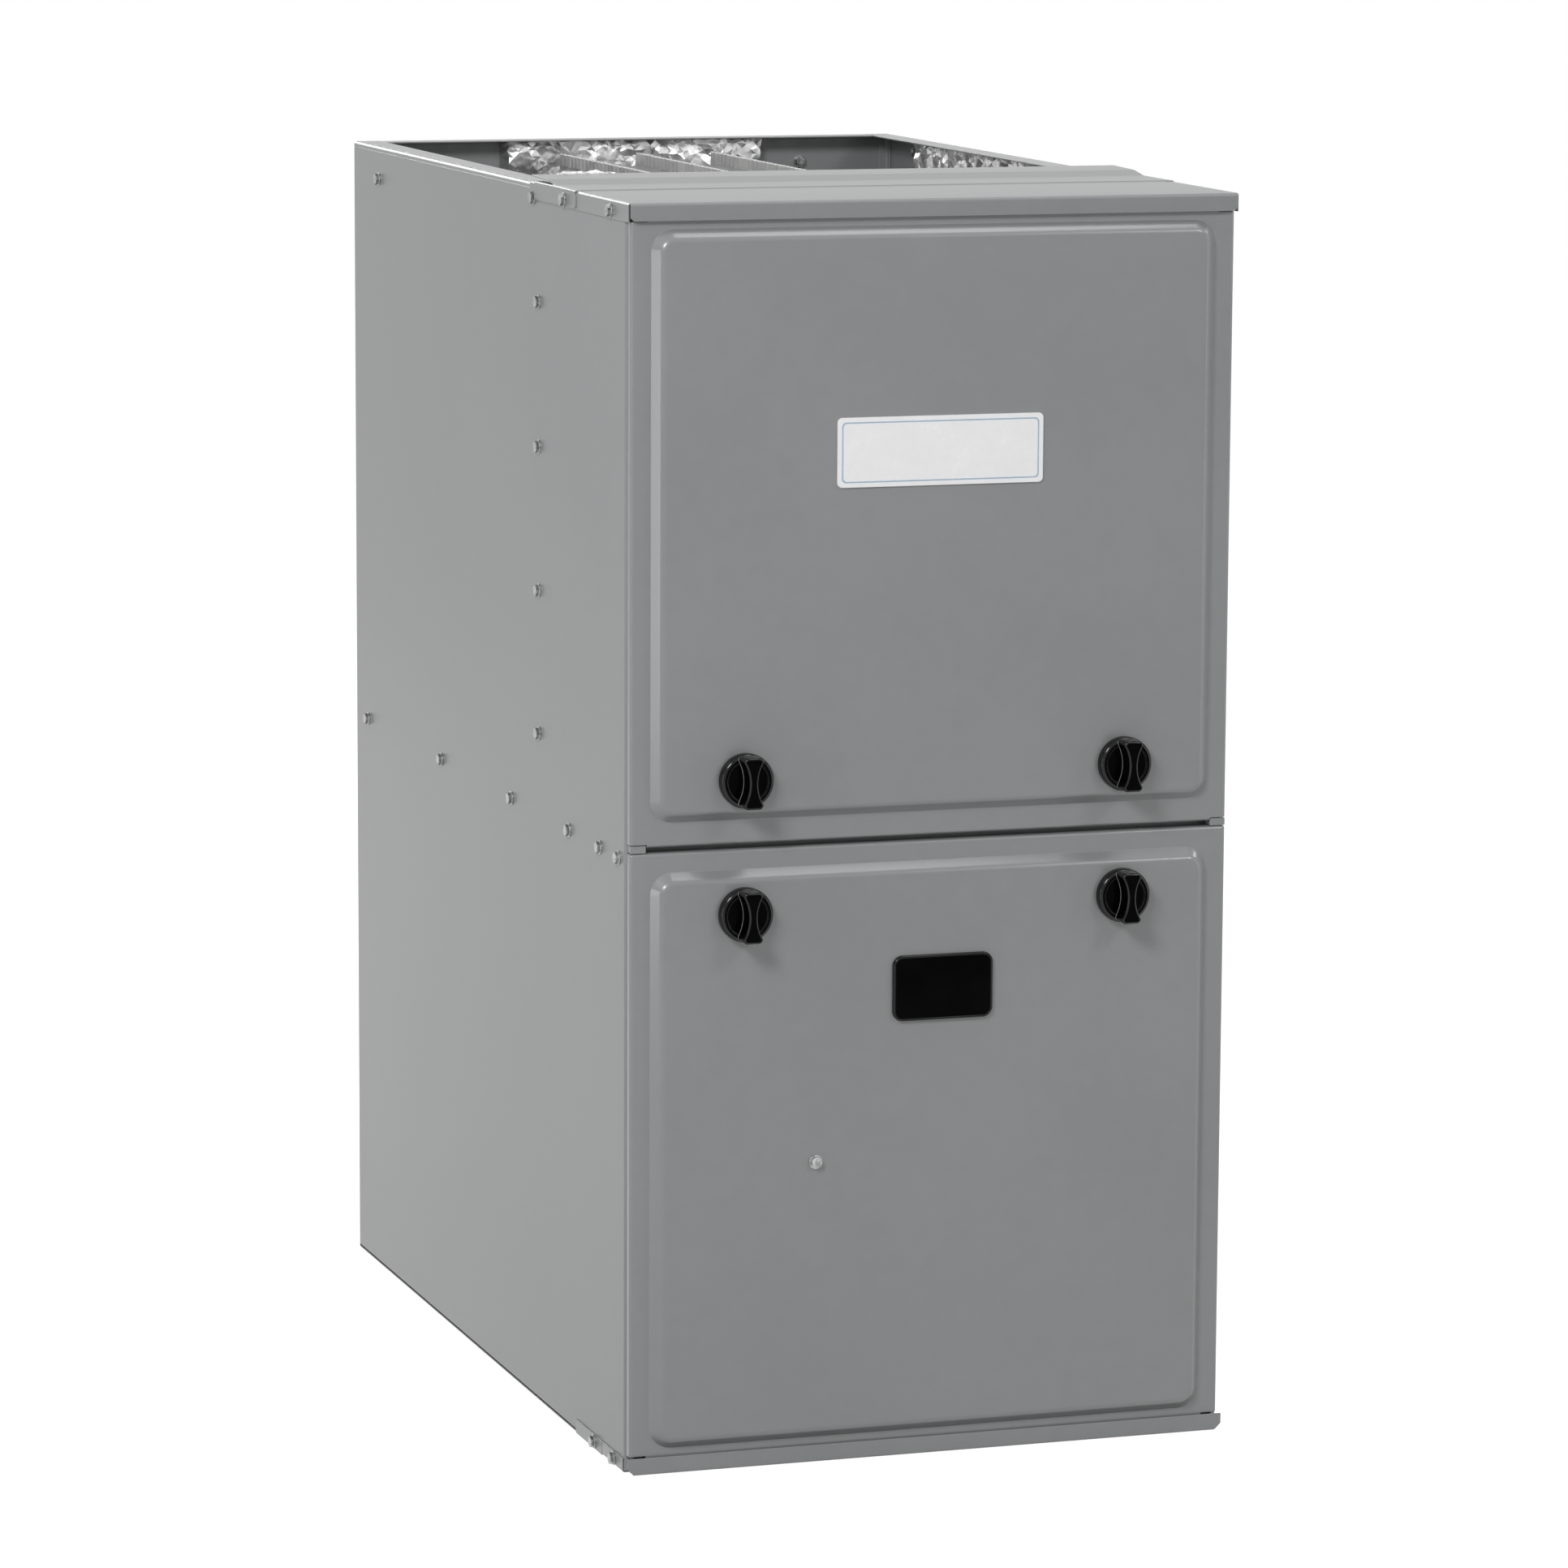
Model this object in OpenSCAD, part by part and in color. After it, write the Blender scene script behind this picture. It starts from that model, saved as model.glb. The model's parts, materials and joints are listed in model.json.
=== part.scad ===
// Forced air gas furnace: an upflow cabinet with two doors, drawn in millimetres.
// X runs to the right as seen from the front, Y runs back and Z runs up from the floor.

/* [Cabinet] */
// Width over the two casing sides
cabinet_width = 444.5; // [430:0.5:470]
// Depth from the back to the front plane of the top lip
cabinet_depth = 749; // [740:1:780]
// Height to the top of the casing
cabinet_height = 889; // [880:1:900]
// Thickness of the casing steel
casing_gauge = 1; // [0.8:0.1:1.2]
// Flange turned inward round the supply opening
top_flange = 20.6; // [18:0.2:24]
// Flange turned inward at the front edge of each side
front_flange = 13; // [11:0.5:15]
// Flange turned inward along the bottom edge
bottom_flange = 20; // [16:1:26]
// Length of one slot in the bend line of a top flange
bend_slot = 14; // [10:1:18]

/* [Top plate and sill] */
// How far the top lip and the sill stand ahead of the door face
lip_proud = 3; // [2.6:0.1:3.6]
// How far the top lip reaches down from the casing top
lip_drop = 11.4; // [10:0.2:13]
// Height of the sill along the floor
sill_height = 12.2; // [10.5:0.1:14]
// Thickness of the top plate
plate_gauge = 1; // [0.8:0.1:1.2]
// Height of the turned-up rear edge of the top plate
upstand = 5; // [4:0.5:7]
// Thickness of the stepped tab on the side flange of the top plate
tab_gauge = 0.8; // [0.6:0.1:1.2]
// Thickness of the sill and the bottom panel
base_gauge = 1; // [0.8:0.1:1.2]
// Depth of the sill along the floor
sill_depth = 62; // [55:1:68]

/* [Doors] */
// Thickness of the door steel
door_gauge = 1; // [0.8:0.1:1.2]
// Depth of each door pan
door_depth = 8; // [7:0.5:10]
// Step in from the casing side to the edge of a door
door_step = 1.25; // [0.8:0.05:2]
// Height of the middle of the gap between the doors
split_z = 443; // [438:1:448]
// Gap between the doors
door_gap = 4; // [3:0.5:6]
// How far the pressed panel of a door is raised
panel_rise = 6.5; // [5:0.5:8]
// Width of the slope round the pressed panel
panel_slope = 8; // [7:0.5:10]
// Corner radius of the pressed panel
panel_corner = 15; // [12.5:0.5:18]
// Flat border beside the pressed panel
border_side = 14; // [12:0.5:17]
// Flat border between the pressed panel and the gap
border_gap = 17; // [15:0.5:20]
// Flat border between the pressed panel and the lip or sill
border_end = 8.6; // [7.5:0.2:11]
// Length of the tongue tucked behind the lip or the sill
tongue = 6.4; // [5:0.2:6.6]
// Thickness of the insulation pads
pad_thick = 14; // [10:1:15]

/* [Knobs] */
// Distance of each knob from the middle of the door
knob_x = 140; // [130:1:150]
// Distance of the upper knobs above the gap
knob_up = 47.5; // [45:0.5:50]
// Distance of the lower knobs below the gap
knob_down = 46.6; // [44:0.5:50]
// Diameter of the knob disc
knob_dia = 39.5; // [36:0.5:44]
// Height of the knobs ahead of the flat door face
knob_height = 28; // [25:0.5:31]
// Thickness of the knob disc
knob_disc = 8; // [6.5:0.5:9]
// Radius of the knob shaft
knob_shaft_r = 5; // [4:0.25:6]
// Radial clearance of the turning shafts in their bores
running_gap = 0.05; // [0.03:0.01:0.08]
// Length of the latch bar behind a knob
latch_len = 36; // [32:1:38]
// Width of the latch bar
latch_wide = 9; // [7:0.5:10]
// Thickness of the latch bar
latch_thick = 3; // [2.5:0.5:3.5]
// Clearance round a latch bar in its slot
latch_gap = 2; // [1.5:0.25:2.5]

/* [Window, badge and screws] */
// Width of the sight window
window_wide = 74; // [64:1:84]
// Height of the sight window
window_high = 45; // [40:1:50]
// Sideways position of the middle of the sight window
window_x = 6; // [-10:1:20]
// Height of the middle of the sight window
window_z = 337; // [325:1:345]
// Width of the badge plate
badge_wide = 151; // [130:1:170]
// Height of the badge plate
badge_high = 48.5; // [40:0.5:60]
// Height of the middle of the badge plate
badge_z = 716; // [690:1:730]
// Thickness of the badge plate
badge_thick = 1.2; // [1:0.1:2]
// Height of the screw in the lower door
door_screw_z = 217.5; // [200:0.5:235]
// Sideways position of the screw in the lower door
door_screw_x = -87; // [-100:1:-70]
// Radius of a sheet metal screw shank
screw_r = 2.1; // [1.8:0.1:2.4]
// Radius of the washer under a screw head
screw_washer_r = 4.9; // [4.4:0.1:5.4]
// Height of a screw head with its washer
screw_head = 3.6; // [3:0.1:4.2]
// Radial clearance of a screw in its hole
screw_gap = 0.15; // [0.1:0.05:0.3]

/* [Inside the cabinet] */
// Depth of the burner space from the casing front to the cell panel
burner_space = 224; // [220:1:228]
// Height of the top face of the blower shelf
shelf_z = 446; // [440:1:450]
// Distance between neighbouring heat exchanger cells
cell_pitch = 62; // [58:1:64]
// Sideways position of the middle cell
cell_x = -6; // [-10:1:0]
// Distance of the cell tops below the casing top
cell_drop = 9; // [7:0.5:12]
// Gap between the box behind the cells and the foil on the back
link_gap = 5; // [3:0.5:9]
// Depth of the box behind the cells
link_depth = 34; // [28:1:40]
// Radius of the rounded side of a cell passage
passage_r = 19; // [16:0.5:20]
// Thickness of the cell walls
cell_wall = 1; // [0.8:0.1:1.4]
// Sideways distance between the tubes of the condensing coil
coil_pitch = 44; // [40:1:50]
// Number of fins on the condensing coil
coil_fins = 12; // [8:1:18]
// Distance of the burner line below the casing top
burner_drop = 64; // [62:0.5:68]
// Distance between the passages of one cell
passage_pitch = 70; // [66:1:72]
// Thickness of the foil insulation
foil_thick = 12; // [9:0.5:12.5]
// Radius of the bore of the air and vent couplings, for a 2 inch plastic pipe
pipe_bore_r = 30.2; // [30.15:0.05:30.4]
// Wall of the rubber couplings
coupling_wall = 5.6; // [4.5:0.1:6.5]
// Radius of the hole for the gas pipe in the casing
gas_hole_r = 22.25; // [20:0.25:24]
// Radius of the gas inlet bore of the valve, for a half inch pipe
gas_bore_r = 9.25; // [9:0.05:9.5]
// Width of the gas valve
valve_wide = 64; // [58:1:68]
// Radius of the hole for the supply wires
wire_hole_r = 11.1; // [10:0.1:12]
// Radius of the drain socket bore, for a half inch tube
drain_bore_r = 8; // [7.5:0.1:8.5]

/* [Inducer] */
// Radius of the inducer housing
inducer_r = 88; // [84:1:90]
// Depth of the inducer housing
inducer_depth = 66; // [60:1:68]
// Wall of the inducer housing
inducer_wall = 4; // [3:0.25:5]
// Radius of the inducer wheel
impeller_r = 70; // [62:1:72]
// Number of inducer wheel blades
impeller_blades = 12; // [8:1:16]
// Radius of the inducer motor
inducer_motor_r = 40; // [36:1:44]
// Length of the inducer motor
inducer_motor_long = 54; // [48:1:58]
// Radius of the inducer shaft
inducer_shaft_r = 4; // [3:0.25:5]

/* [Controls] */
// Space between the control tray and each casing side
tray_side = 96.25; // [90:0.25:100]
// Border of the control tray round the board
tray_border = 20; // [16:1:24]
// Height of the control board
board_high = 125; // [115:1:128]
// Distance of the limit switch and the pressure switch line from the left side
limit_side = 49.25; // [45:0.25:53]

/* [Blower] */
// Radius of the blower wheel
wheel_r = 133; // [128:1:136]
// Width of the blower wheel
wheel_wide = 200; // [190:1:206]
// Number of blower wheel blades
wheel_blades = 40; // [32:1:44]
// Height of the blower wheel axis
wheel_z = 222; // [218:1:226]
// Distance of the blower wheel axis behind the cell panel
wheel_back = 252; // [248:1:256]
// Radius of the scroll at its narrow end
scroll_start = 148; // [144:1:150]
// Radius of the scroll at its wide end
scroll_end = 212; // [206:1:214]
// Radius of the two air inlets
inlet_r = 112; // [108:1:116]
// Space between the wheel and each side of the housing
housing_space = 22; // [19:1:24]
// Radius of the blower motor
motor_r = 70; // [64:1:74]
// Length of the blower motor
motor_long = 120; // [112:1:124]
// Radius of the blower shaft
shaft_r = 6.35; // [5.5:0.05:7]

/* [View] */
// Which piece to draw, or all of them

/* [Hidden] */
$fn = 64;
e = 0.01;
half_w = cabinet_width / 2;
inner_w = half_w - casing_gauge;
overall_depth = cabinet_depth - lip_proud + knob_height;
back_y = overall_depth / 2;
inner_back = back_y - casing_gauge;
lip_y = back_y - cabinet_depth;
door_y = lip_y + lip_proud;
casing_y = door_y + door_depth;
casing_z = base_gauge;
top_z = cabinet_height;

// Heights and depths that several pieces share
panel_y = casing_y + burner_space;
panel_back = panel_y + casing_gauge;
plate_rear = panel_y + 9.5;
lip_low = top_z - lip_drop;
sill_rear = lip_y + sill_depth;
wall_clear = 0.2;
side_tab_high = 10;
rail_y = casing_y + 5;
rail_back = rail_y + casing_gauge;
gusset_end = rail_back + 64;
shelf_under = shelf_z - casing_gauge;
shelf_flange = 21;
screw_row_z = shelf_z - 10.5;
panel_flange = 20;
column_y = panel_y - 10.5;

// Door sizes
door_half = half_w - door_step;
door_back = door_y + door_gauge;
face_y = door_y - panel_rise;
face_back = face_y + door_gauge;
upper_low = split_z + door_gap / 2;
lower_high = split_z - door_gap / 2;
upper_knob_z = split_z + knob_up;
lower_knob_z = split_z - knob_down;
press_half = door_half - border_side;
upper_press = [upper_low + border_gap, lip_low - border_end - 1];
lower_press = [sill_height + border_end - 0.8, lower_high - border_gap + 1.8];
knob_bore_r = knob_shaft_r + running_gap;
latch_front = rail_back + 3.4;
rail_low = lower_knob_z - 26;
rail_high = upper_knob_z + 26;
hinge_upper = [door_y - 1, lip_low];
hinge_lower = [door_y - 1, sill_height];

// Sheet metal screws: height and depth on the casing side, and what lies under the head
screw_hole_r = screw_r + screw_gap;
column_step = (top_z - shelf_z - 132) / 3;
side_flange_out = plate_gauge;
tab_out = plate_gauge + tab_gauge;
tab_rear = plate_rear - 14;
tab_front = tab_rear - 103;
top_screws = [
    [panel_y + 2, top_z - 10.5, 0],
    [tab_rear - 76, top_z - 6.5, tab_out],
    [casing_y + 32, top_z - 6.5, side_flange_out],
    [back_y - 76.5, top_z - 25, 0],
];
column_screws = [for (i = [0:3]) [column_y, shelf_z + 48 + i * column_step, 0]];
shelf_screws = [
    [casing_y + 14.5, screw_row_z, 0],
    [gusset_end - 10.5, screw_row_z, 0],
    [panel_y - 87.5, screw_row_z, 0],
    [panel_y + 62.5, screw_row_z, 0],
    [back_y - 256.5, screw_row_z, 0],
    [back_y - 36.5, screw_row_z, 0],
];
base_screws = [
    [sill_rear - 28.5, 5.2, base_gauge],
    [sill_rear + 19.5, 5.2, base_gauge],
];
side_screw_list = concat(top_screws, column_screws, shelf_screws, base_screws);

// Heat exchanger sizes
cell_xs = [cell_x - cell_pitch, cell_x, cell_x + cell_pitch];
cell_top = top_z - cell_drop;
cell_front = panel_back;
foil_front = inner_back - foil_thick;
cell_rear = foil_front - link_gap - link_depth;
cell_length = cell_rear - cell_front;
burner_z = top_z - burner_drop;
passage_rise = 5;
passage_half = passage_r + passage_rise;
bend_r = passage_pitch / 2;
bend_out = bend_r + passage_half;
cell_low = burner_z - 2 * passage_pitch - passage_half - 12;
port_r = passage_r - 2;
limit_x = limit_side - inner_w;
limit_z = burner_z - 105;
rim_high = 9;
coil_low = shelf_z + 24;
coil_high = coil_low + 75;
coil_half = 150;
link_half = cell_pitch + passage_r + 16;
foil_low = shelf_z + 8;
foil_high = top_z - 7;

// Burner sizes
box_half = cell_pitch + 43;
box_front = panel_y - 118;
box_low = burner_z - 37;
box_high = burner_z + 37;
manifold_y = box_front - 21;
manifold_r = 10.7;
riser_x = cell_x + box_half + 50;
valve_top = burner_z - 36;
valve_low = valve_top - 74;
valve_front = manifold_y - 34;
valve_rear = manifold_y + 32;
gas_z = valve_low + 37;
orifice_tip = manifold_y + manifold_r + 15;
burner_mouth = panel_y - 15;

// Pipe sizes at the right side
coupling_r = pipe_bore_r + coupling_wall;
air_y = panel_y - 65;
vent_y = panel_y - 63;
side_hole_r = coupling_r + 2.4;
coupling_end = inner_w - 1;
drain_r = drain_bore_r + 2.5;
drain_y = panel_y - 38;
drain_z = shelf_z + 29;
wire_y = casing_y + 46;
wire_z = rail_low - 5;

// Inducer sizes
collector_front = panel_y - 33;
collector_low = shelf_z + 10;
collector_high = coil_high + 15;
collector_x = [cell_x - 134, cell_x + 126];
inducer_x = cell_x - 4;
inducer_z = shelf_z + 139;
inducer_front = collector_front - inducer_depth;
outlet_r = pipe_bore_r + 1.8;
outlet_z = inducer_z + inducer_r - outlet_r - 1;
outlet_end = 150;
motor_end = inducer_front - 8 - inducer_motor_long;
fan_front = motor_end - 16;

// Blower sizes
wheel_y = panel_y + wheel_back;
housing_half = wheel_wide / 2 + housing_space;
duct_front = wheel_y - scroll_start * cos(50);
duct_back = wheel_y + scroll_end;
motor_x0 = -housing_half - 13;
motor_x1 = motor_x0 + motor_long;
hub_x0 = motor_x1 + 12;
inducer_bore_r = inducer_shaft_r + running_gap;
motor_bore_r = shaft_r + running_gap;

// Control sizes
tray_back = casing_y + 90;
tray_half = inner_w - tray_side;
tray_low = shelf_z - 184;
board_y = tray_back - 14;
board_half = tray_half - tray_border;
board_z = [tray_low + 13, tray_low + 13 + board_high];
switch_x = 60;
switch_z = lower_knob_z + 14;
plunger_r = 3;
plunger_travel = 4;
junction_x = knob_x + latch_len / 2 + 8;

// Colours
enamel = [0.53, 0.54, 0.55];
zinc = [0.74, 0.75, 0.76];
galvanised = [0.66, 0.68, 0.69];
black = [0.06, 0.06, 0.065];
foil = [0.86, 0.87, 0.88];
dark_steel = [0.3, 0.3, 0.31];

// Shared shapes

// A block between two limits on each axis
module block(x, y, z) {
    translate([x[0], y[0], z[0]])
        cube([x[1] - x[0], y[1] - y[0], z[1] - z[0]]);
}

// The same piece on both sides of the middle plane
module both_sides() {
    children();
    mirror([1, 0, 0]) children();
}

module rod_x(x, y, z, r) {
    translate([x[0], y, z])
        rotate([0, 90, 0])
            cylinder(r = r, h = x[1] - x[0]);
}

module rod_y(x, y, z, r) {
    translate([x, y[1], z])
        rotate([90, 0, 0])
            cylinder(r = r, h = y[1] - y[0]);
}

module rod_z(x, y, z, r) {
    translate([x, y, z[0]])
        cylinder(r = r, h = z[1] - z[0]);
}

// A drawing seen from the front: its third axis points at the viewer
module on_front(y) {
    translate([0, y, 0])
        rotate([90, 0, 0])
            children();
}

// A drawing seen from the right side: its axes are Y, Z and X
module on_side(x) {
    translate([x, 0, 0])
        rotate([90, 0, 90])
            children();
}

module round_rect(x, y, r) {
    translate([x[0] + r, y[0]]) square([x[1] - x[0] - 2 * r, y[1] - y[0]]);
    translate([x[0], y[0] + r]) square([x[1] - x[0], y[1] - y[0] - 2 * r]);
    for (cx = [x[0] + r, x[1] - r])
        for (cy = [y[0] + r, y[1] - r])
            translate([cx, cy]) circle(r = r);
}

// Holes for every screw in the casing sides
module side_screw_holes() {
    for (s = side_screw_list)
        rod_x([-half_w - 6, half_w + 6], s[0], s[1], screw_hole_r);
}

// Hex head screw along X: the head lies beyond the seat and the shank points back
module hex_screw(seat, y, z, shank) {
    rod_x([seat, seat + 1], y, z, screw_washer_r);
    translate([seat + 1 - e, y, z])
        rotate([0, 90, 0])
            cylinder(r = screw_washer_r - 0.7, h = screw_head - 1, $fn = 6);
    rod_x([seat - shank, seat + e], y, z, screw_r);
}

// Cabinet shell

// Through slots that let a top flange be bent up to meet a duct
module bend_slots() {
    slot_wide = 1.2;
    slot_in = 2.6;
    first = plate_rear + 14;
    count = floor((inner_back - plate_rear - 30) / (bend_slot + 10));
    for (i = [0:count - 1])
        both_sides()
            block(
                [half_w - slot_in - slot_wide, half_w - slot_in],
                [first + i * (bend_slot + 10), first + bend_slot + i * (bend_slot + 10)],
                [top_z - 3, top_z + 1]
            );
    for (i = [-8:8])
        translate([i * (bend_slot + 9), back_y - slot_in - slot_wide, top_z - 3])
            translate([-bend_slot / 2, 0, 0])
                cube([bend_slot, slot_wide, 4]);
}

module service_holes() {
    rod_x([inner_w - 2, half_w + 1], air_y, burner_z, side_hole_r);
    rod_x([inner_w - 2, half_w + 1], vent_y, outlet_z, side_hole_r);
    rod_x([inner_w - 2, half_w + 1], manifold_y, gas_z, gas_hole_r);
    rod_x([inner_w - 2, half_w + 1], drain_y, drain_z, drain_r + 2);
    rod_x([inner_w - 2, half_w + 1], wire_y, wire_z, wire_hole_r);
}

// Side panel with its four inward flanges. The top one starts behind the top plate, and the wall
// stops just below it, so that the duct's seat is the flange alone
module side_panel() {
    block([inner_w, half_w], [casing_y, back_y], [casing_z, top_z - wall_clear]);
    block([half_w - top_flange, half_w], [plate_rear + 1, back_y], [top_z - casing_gauge, top_z]);
    block([half_w - front_flange, half_w], [casing_y, casing_y + casing_gauge], [casing_z, top_z]);
    block(
        [half_w - bottom_flange, half_w],
        [casing_y, back_y],
        [casing_z, casing_z + casing_gauge]
    );
}

module casing_left() color(enamel) difference() {
    mirror([1, 0, 0]) side_panel();
    bend_slots();
    side_screw_holes();
}

module casing_right() color(enamel) difference() {
    side_panel();
    bend_slots();
    side_screw_holes();
    service_holes();
}

module casing_back() color(enamel) difference() {
    top_half = half_w - top_flange;
    low_half = half_w - bottom_flange;
    union() {
        block([-inner_w, inner_w], [inner_back, back_y], [casing_z + casing_gauge, top_z - casing_gauge]);
        block([-top_half, top_half], [back_y - top_flange, back_y], [top_z - casing_gauge, top_z]);
        block(
            [-low_half, low_half],
            [back_y - bottom_flange, back_y],
            [casing_z, casing_z + casing_gauge]
        );
    }
    bend_slots();
}

module top_plate() color([0.58, 0.59, 0.6]) difference() {
    out = half_w + plate_gauge;
    high = top_z + plate_gauge;
    lip_half = door_half - 0.5;
    union() {
        block([-lip_half, lip_half], [lip_y, lip_y + plate_gauge], [lip_low, high]);
        block([-lip_half, lip_half], [lip_y, casing_y], [top_z, high]);
        block([-out, out], [casing_y - 4, plate_rear], [top_z, high]);
        both_sides() {
            block([half_w, out], [casing_y - 4, tab_rear], [lip_low - 0.6, high]);
            block([out - e, out + tab_gauge], [tab_front, tab_rear], [lip_low + 0.6, high - 1.2]);
        }
        on_front(plate_rear)
            linear_extrude(height = plate_gauge)
                round_rect([-out + 16, out - 16], [top_z + 0.2, high + upstand], 2.6);
        block([-out + 15, out - 15], [plate_rear - 4, plate_rear], [top_z, high]);
    }
    // Bend line across the plate
    block([-out + 4, out - 4], [plate_rear - 70.6, plate_rear - 70], [high - 0.3, high + 1]);
    side_screw_holes();
}

module base_sill() color(enamel) difference() {
    out = half_w + base_gauge;
    front_half = door_half - 0.7;
    union() {
        on_front(lip_y + base_gauge)
            linear_extrude(height = base_gauge)
                polygon([
                    [-front_half + 5, 0], [front_half - 5, 0], [front_half, 5],
                    [front_half, sill_height], [-front_half, sill_height], [-front_half, 5],
                ]);
        block([-front_half + 5, front_half - 5], [lip_y, casing_y + 2], [0, base_gauge]);
        block([-out, out], [casing_y + 1.5, sill_rear], [0, base_gauge]);
        both_sides()
            block([half_w, out], [casing_y + 1.5, sill_rear], [0, side_tab_high]);
    }
    side_screw_holes();
}

module bottom_panel() color(enamel) difference() {
    out = half_w + base_gauge;
    union() {
        block([-half_w, half_w], [sill_rear + 1, back_y], [0, base_gauge]);
        both_sides() {
            block([half_w - e, out], [sill_rear + 1, sill_rear + 66], [0, base_gauge]);
            block([half_w, out], [sill_rear + 1, sill_rear + 66], [0, side_tab_high]);
        }
        // Low stiffening ribs on the inner face
        for (x = [-110, 0, 110])
            block([x - 4, x + 4], [sill_rear + 60, inner_back - 60], [base_gauge - e, base_gauge + 2]);
    }
    side_screw_holes();
}

module blower_shelf() color(galvanised) difference() {
    union() {
        block([-inner_w, inner_w], [rail_back, inner_back], [shelf_under, shelf_z]);
        both_sides()
            block(
                [inner_w - casing_gauge, inner_w],
                [gusset_end + 0.5, inner_back],
                [shelf_z - shelf_flange, shelf_z]
            );
        block(
            [-inner_w + casing_gauge + 1, inner_w - casing_gauge - 1],
            [rail_back, rail_back + casing_gauge],
            [shelf_z - 16, shelf_z]
        );
        block([-inner_w, inner_w], [inner_back - casing_gauge, inner_back], [shelf_z - 16, shelf_z]);
    }
    both_sides()
        block([inner_w - casing_gauge, inner_w + 1], [rail_y, gusset_end], [shelf_z - 30, shelf_z + 1]);
    block(
        [-housing_half + 3, housing_half - 3],
        [duct_front + 3, duct_back - 3],
        [shelf_under - 1, shelf_z + 1]
    );
    rod_z(limit_x, panel_y - 60, [shelf_under - 1, shelf_z + 1], 12);
    side_screw_holes();
}

// One upright slot that a latch bar passes when its knob is at rest
module latch_slot(x, z) {
    block(
        [x - latch_wide / 2 - latch_gap, x + latch_wide / 2 + latch_gap],
        [rail_y - 1, rail_back + 1],
        [z - latch_len / 2 - latch_gap, z + latch_len / 2 + latch_gap]
    );
}

module latch_rail() color(enamel) difference() {
    union() {
        block([-inner_w, inner_w], [rail_y, rail_back], [rail_low, rail_high]);
        both_sides()
            block(
                [inner_w - casing_gauge, inner_w],
                [rail_y, gusset_end],
                [shelf_z - 24, shelf_z + 16]
            );
    }
    both_sides() {
        latch_slot(knob_x, upper_knob_z);
        latch_slot(knob_x, lower_knob_z);
    }
    rod_y(switch_x, [rail_y - 1, rail_back + 1], switch_z, plunger_r + 1);
    side_screw_holes();
}

module cell_panel() color(galvanised) difference() {
    high = top_z;
    union() {
        block([-inner_w, inner_w], [panel_y, panel_back], [shelf_z, high]);
        block([-inner_w + 1, inner_w - 1], [panel_y, plate_rear], [high - casing_gauge, high]);
        both_sides()
            block([inner_w - casing_gauge, inner_w], [panel_y - panel_flange, panel_back], [shelf_z, high]);
        block([-inner_w + 3, inner_w - 3], [panel_y - 15, panel_back], [shelf_z, shelf_z + casing_gauge]);
    }
    for (x = cell_xs)
        rod_y(x, [panel_y - 1, panel_back + 1], burner_z, port_r);
    block([cell_x - 110, cell_x + 110], [panel_y - 1, panel_back + 1], [coil_low + 12, coil_high - 12]);
    rod_y(limit_x, [panel_y - 1, panel_back + 1], limit_z, 8);
    side_screw_holes();
}

module side_screws() color(zinc)
    for (s = side_screw_list)
        both_sides()
            hex_screw(half_w + s[2], s[0], s[1], 10 + s[2]);

// Heat exchanger

// Comb-shaped outline of a crimped rim, seen from above
function rim_points(n, step, core, tooth) = concat(
    [for (i = [0:n - 1]) each [
        [core, i * step], [tooth, i * step], [tooth, (i + 0.5) * step], [core, (i + 0.5) * step],
    ]],
    [[core, n * step], [-core, n * step]],
    [for (i = [n - 1:-1:0]) each [
        [-core, (i + 0.5) * step], [-tooth, (i + 0.5) * step], [-tooth, i * step], [-core, i * step],
    ]]
);

module passage_section(r) {
    square([2 * passage_rise, 2 * r], center = true);
    translate([passage_rise, 0]) circle(r = r);
    translate([-passage_rise, 0]) circle(r = r);
}

module passage(y, z, r) {
    translate([y[0], z, 0])
        rotate([0, 90, 0])
            rotate([0, 0, 90])
                linear_extrude(height = y[1] - y[0])
                    passage_section(r);
}

// Three passages of one cell and the two turns between them
module passages(r, past) on_side(0) {
    turn_rear = cell_rear - bend_out - 8;
    turn_front = cell_front + bend_out + 8;
    z1 = burner_z;
    z2 = z1 - passage_pitch;
    z3 = z2 - passage_pitch;
    passage([cell_front - past, turn_rear], z1, r);
    passage([turn_front, turn_rear], z2, r);
    passage([turn_front, cell_rear + past], z3, r);
    translate([turn_rear, (z1 + z2) / 2, 0])
        rotate([0, 0, -90])
            rotate_extrude(angle = 180)
                translate([bend_r, 0])
                    passage_section(r);
    translate([turn_front, (z2 + z3) / 2, 0])
        rotate([0, 0, 90])
            rotate_extrude(angle = 180)
                translate([bend_r, 0])
                    passage_section(r);
}

module cell(x) translate([x, 0, 0]) difference() {
    union() {
        block([-1.2, 1.2], [cell_front, cell_rear], [cell_low, cell_top - rim_high + 1]);
        translate([0, cell_front + 1, cell_top - rim_high])
            linear_extrude(height = rim_high)
                polygon(rim_points(46, (cell_length - 2) / 46, 1.2, 2.3));
        passages(passage_r, 0);
    }
    passages(passage_r - cell_wall, 1);
}

module cells() color(dark_steel)
    for (x = cell_xs)
        cell(x);

module coupling_box() color(galvanised) difference() {
    x = [cell_x - link_half, cell_x + link_half];
    y = [cell_rear, cell_rear + link_depth];
    z = [coil_low, cell_low + 80];
    union() {
        block(x, y, z);
        block([x[0] - 8, x[1] + 8], [y[0], y[0] + 1.2], [z[0], z[1] + 8]);
    }
    block([x[0] + 1.2, x[1] - 1.2], [y[0] - 1, y[1] - 1.2], [z[0] + 1.2, z[1] - 1.2]);
}

module coil_tubes(y, r)
    for (x = [cell_x - coil_half + 15:coil_pitch:cell_x + coil_half - 12])
        for (z = [coil_low + 20, coil_high - 20])
            rod_y(x, y, z, r);

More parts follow.
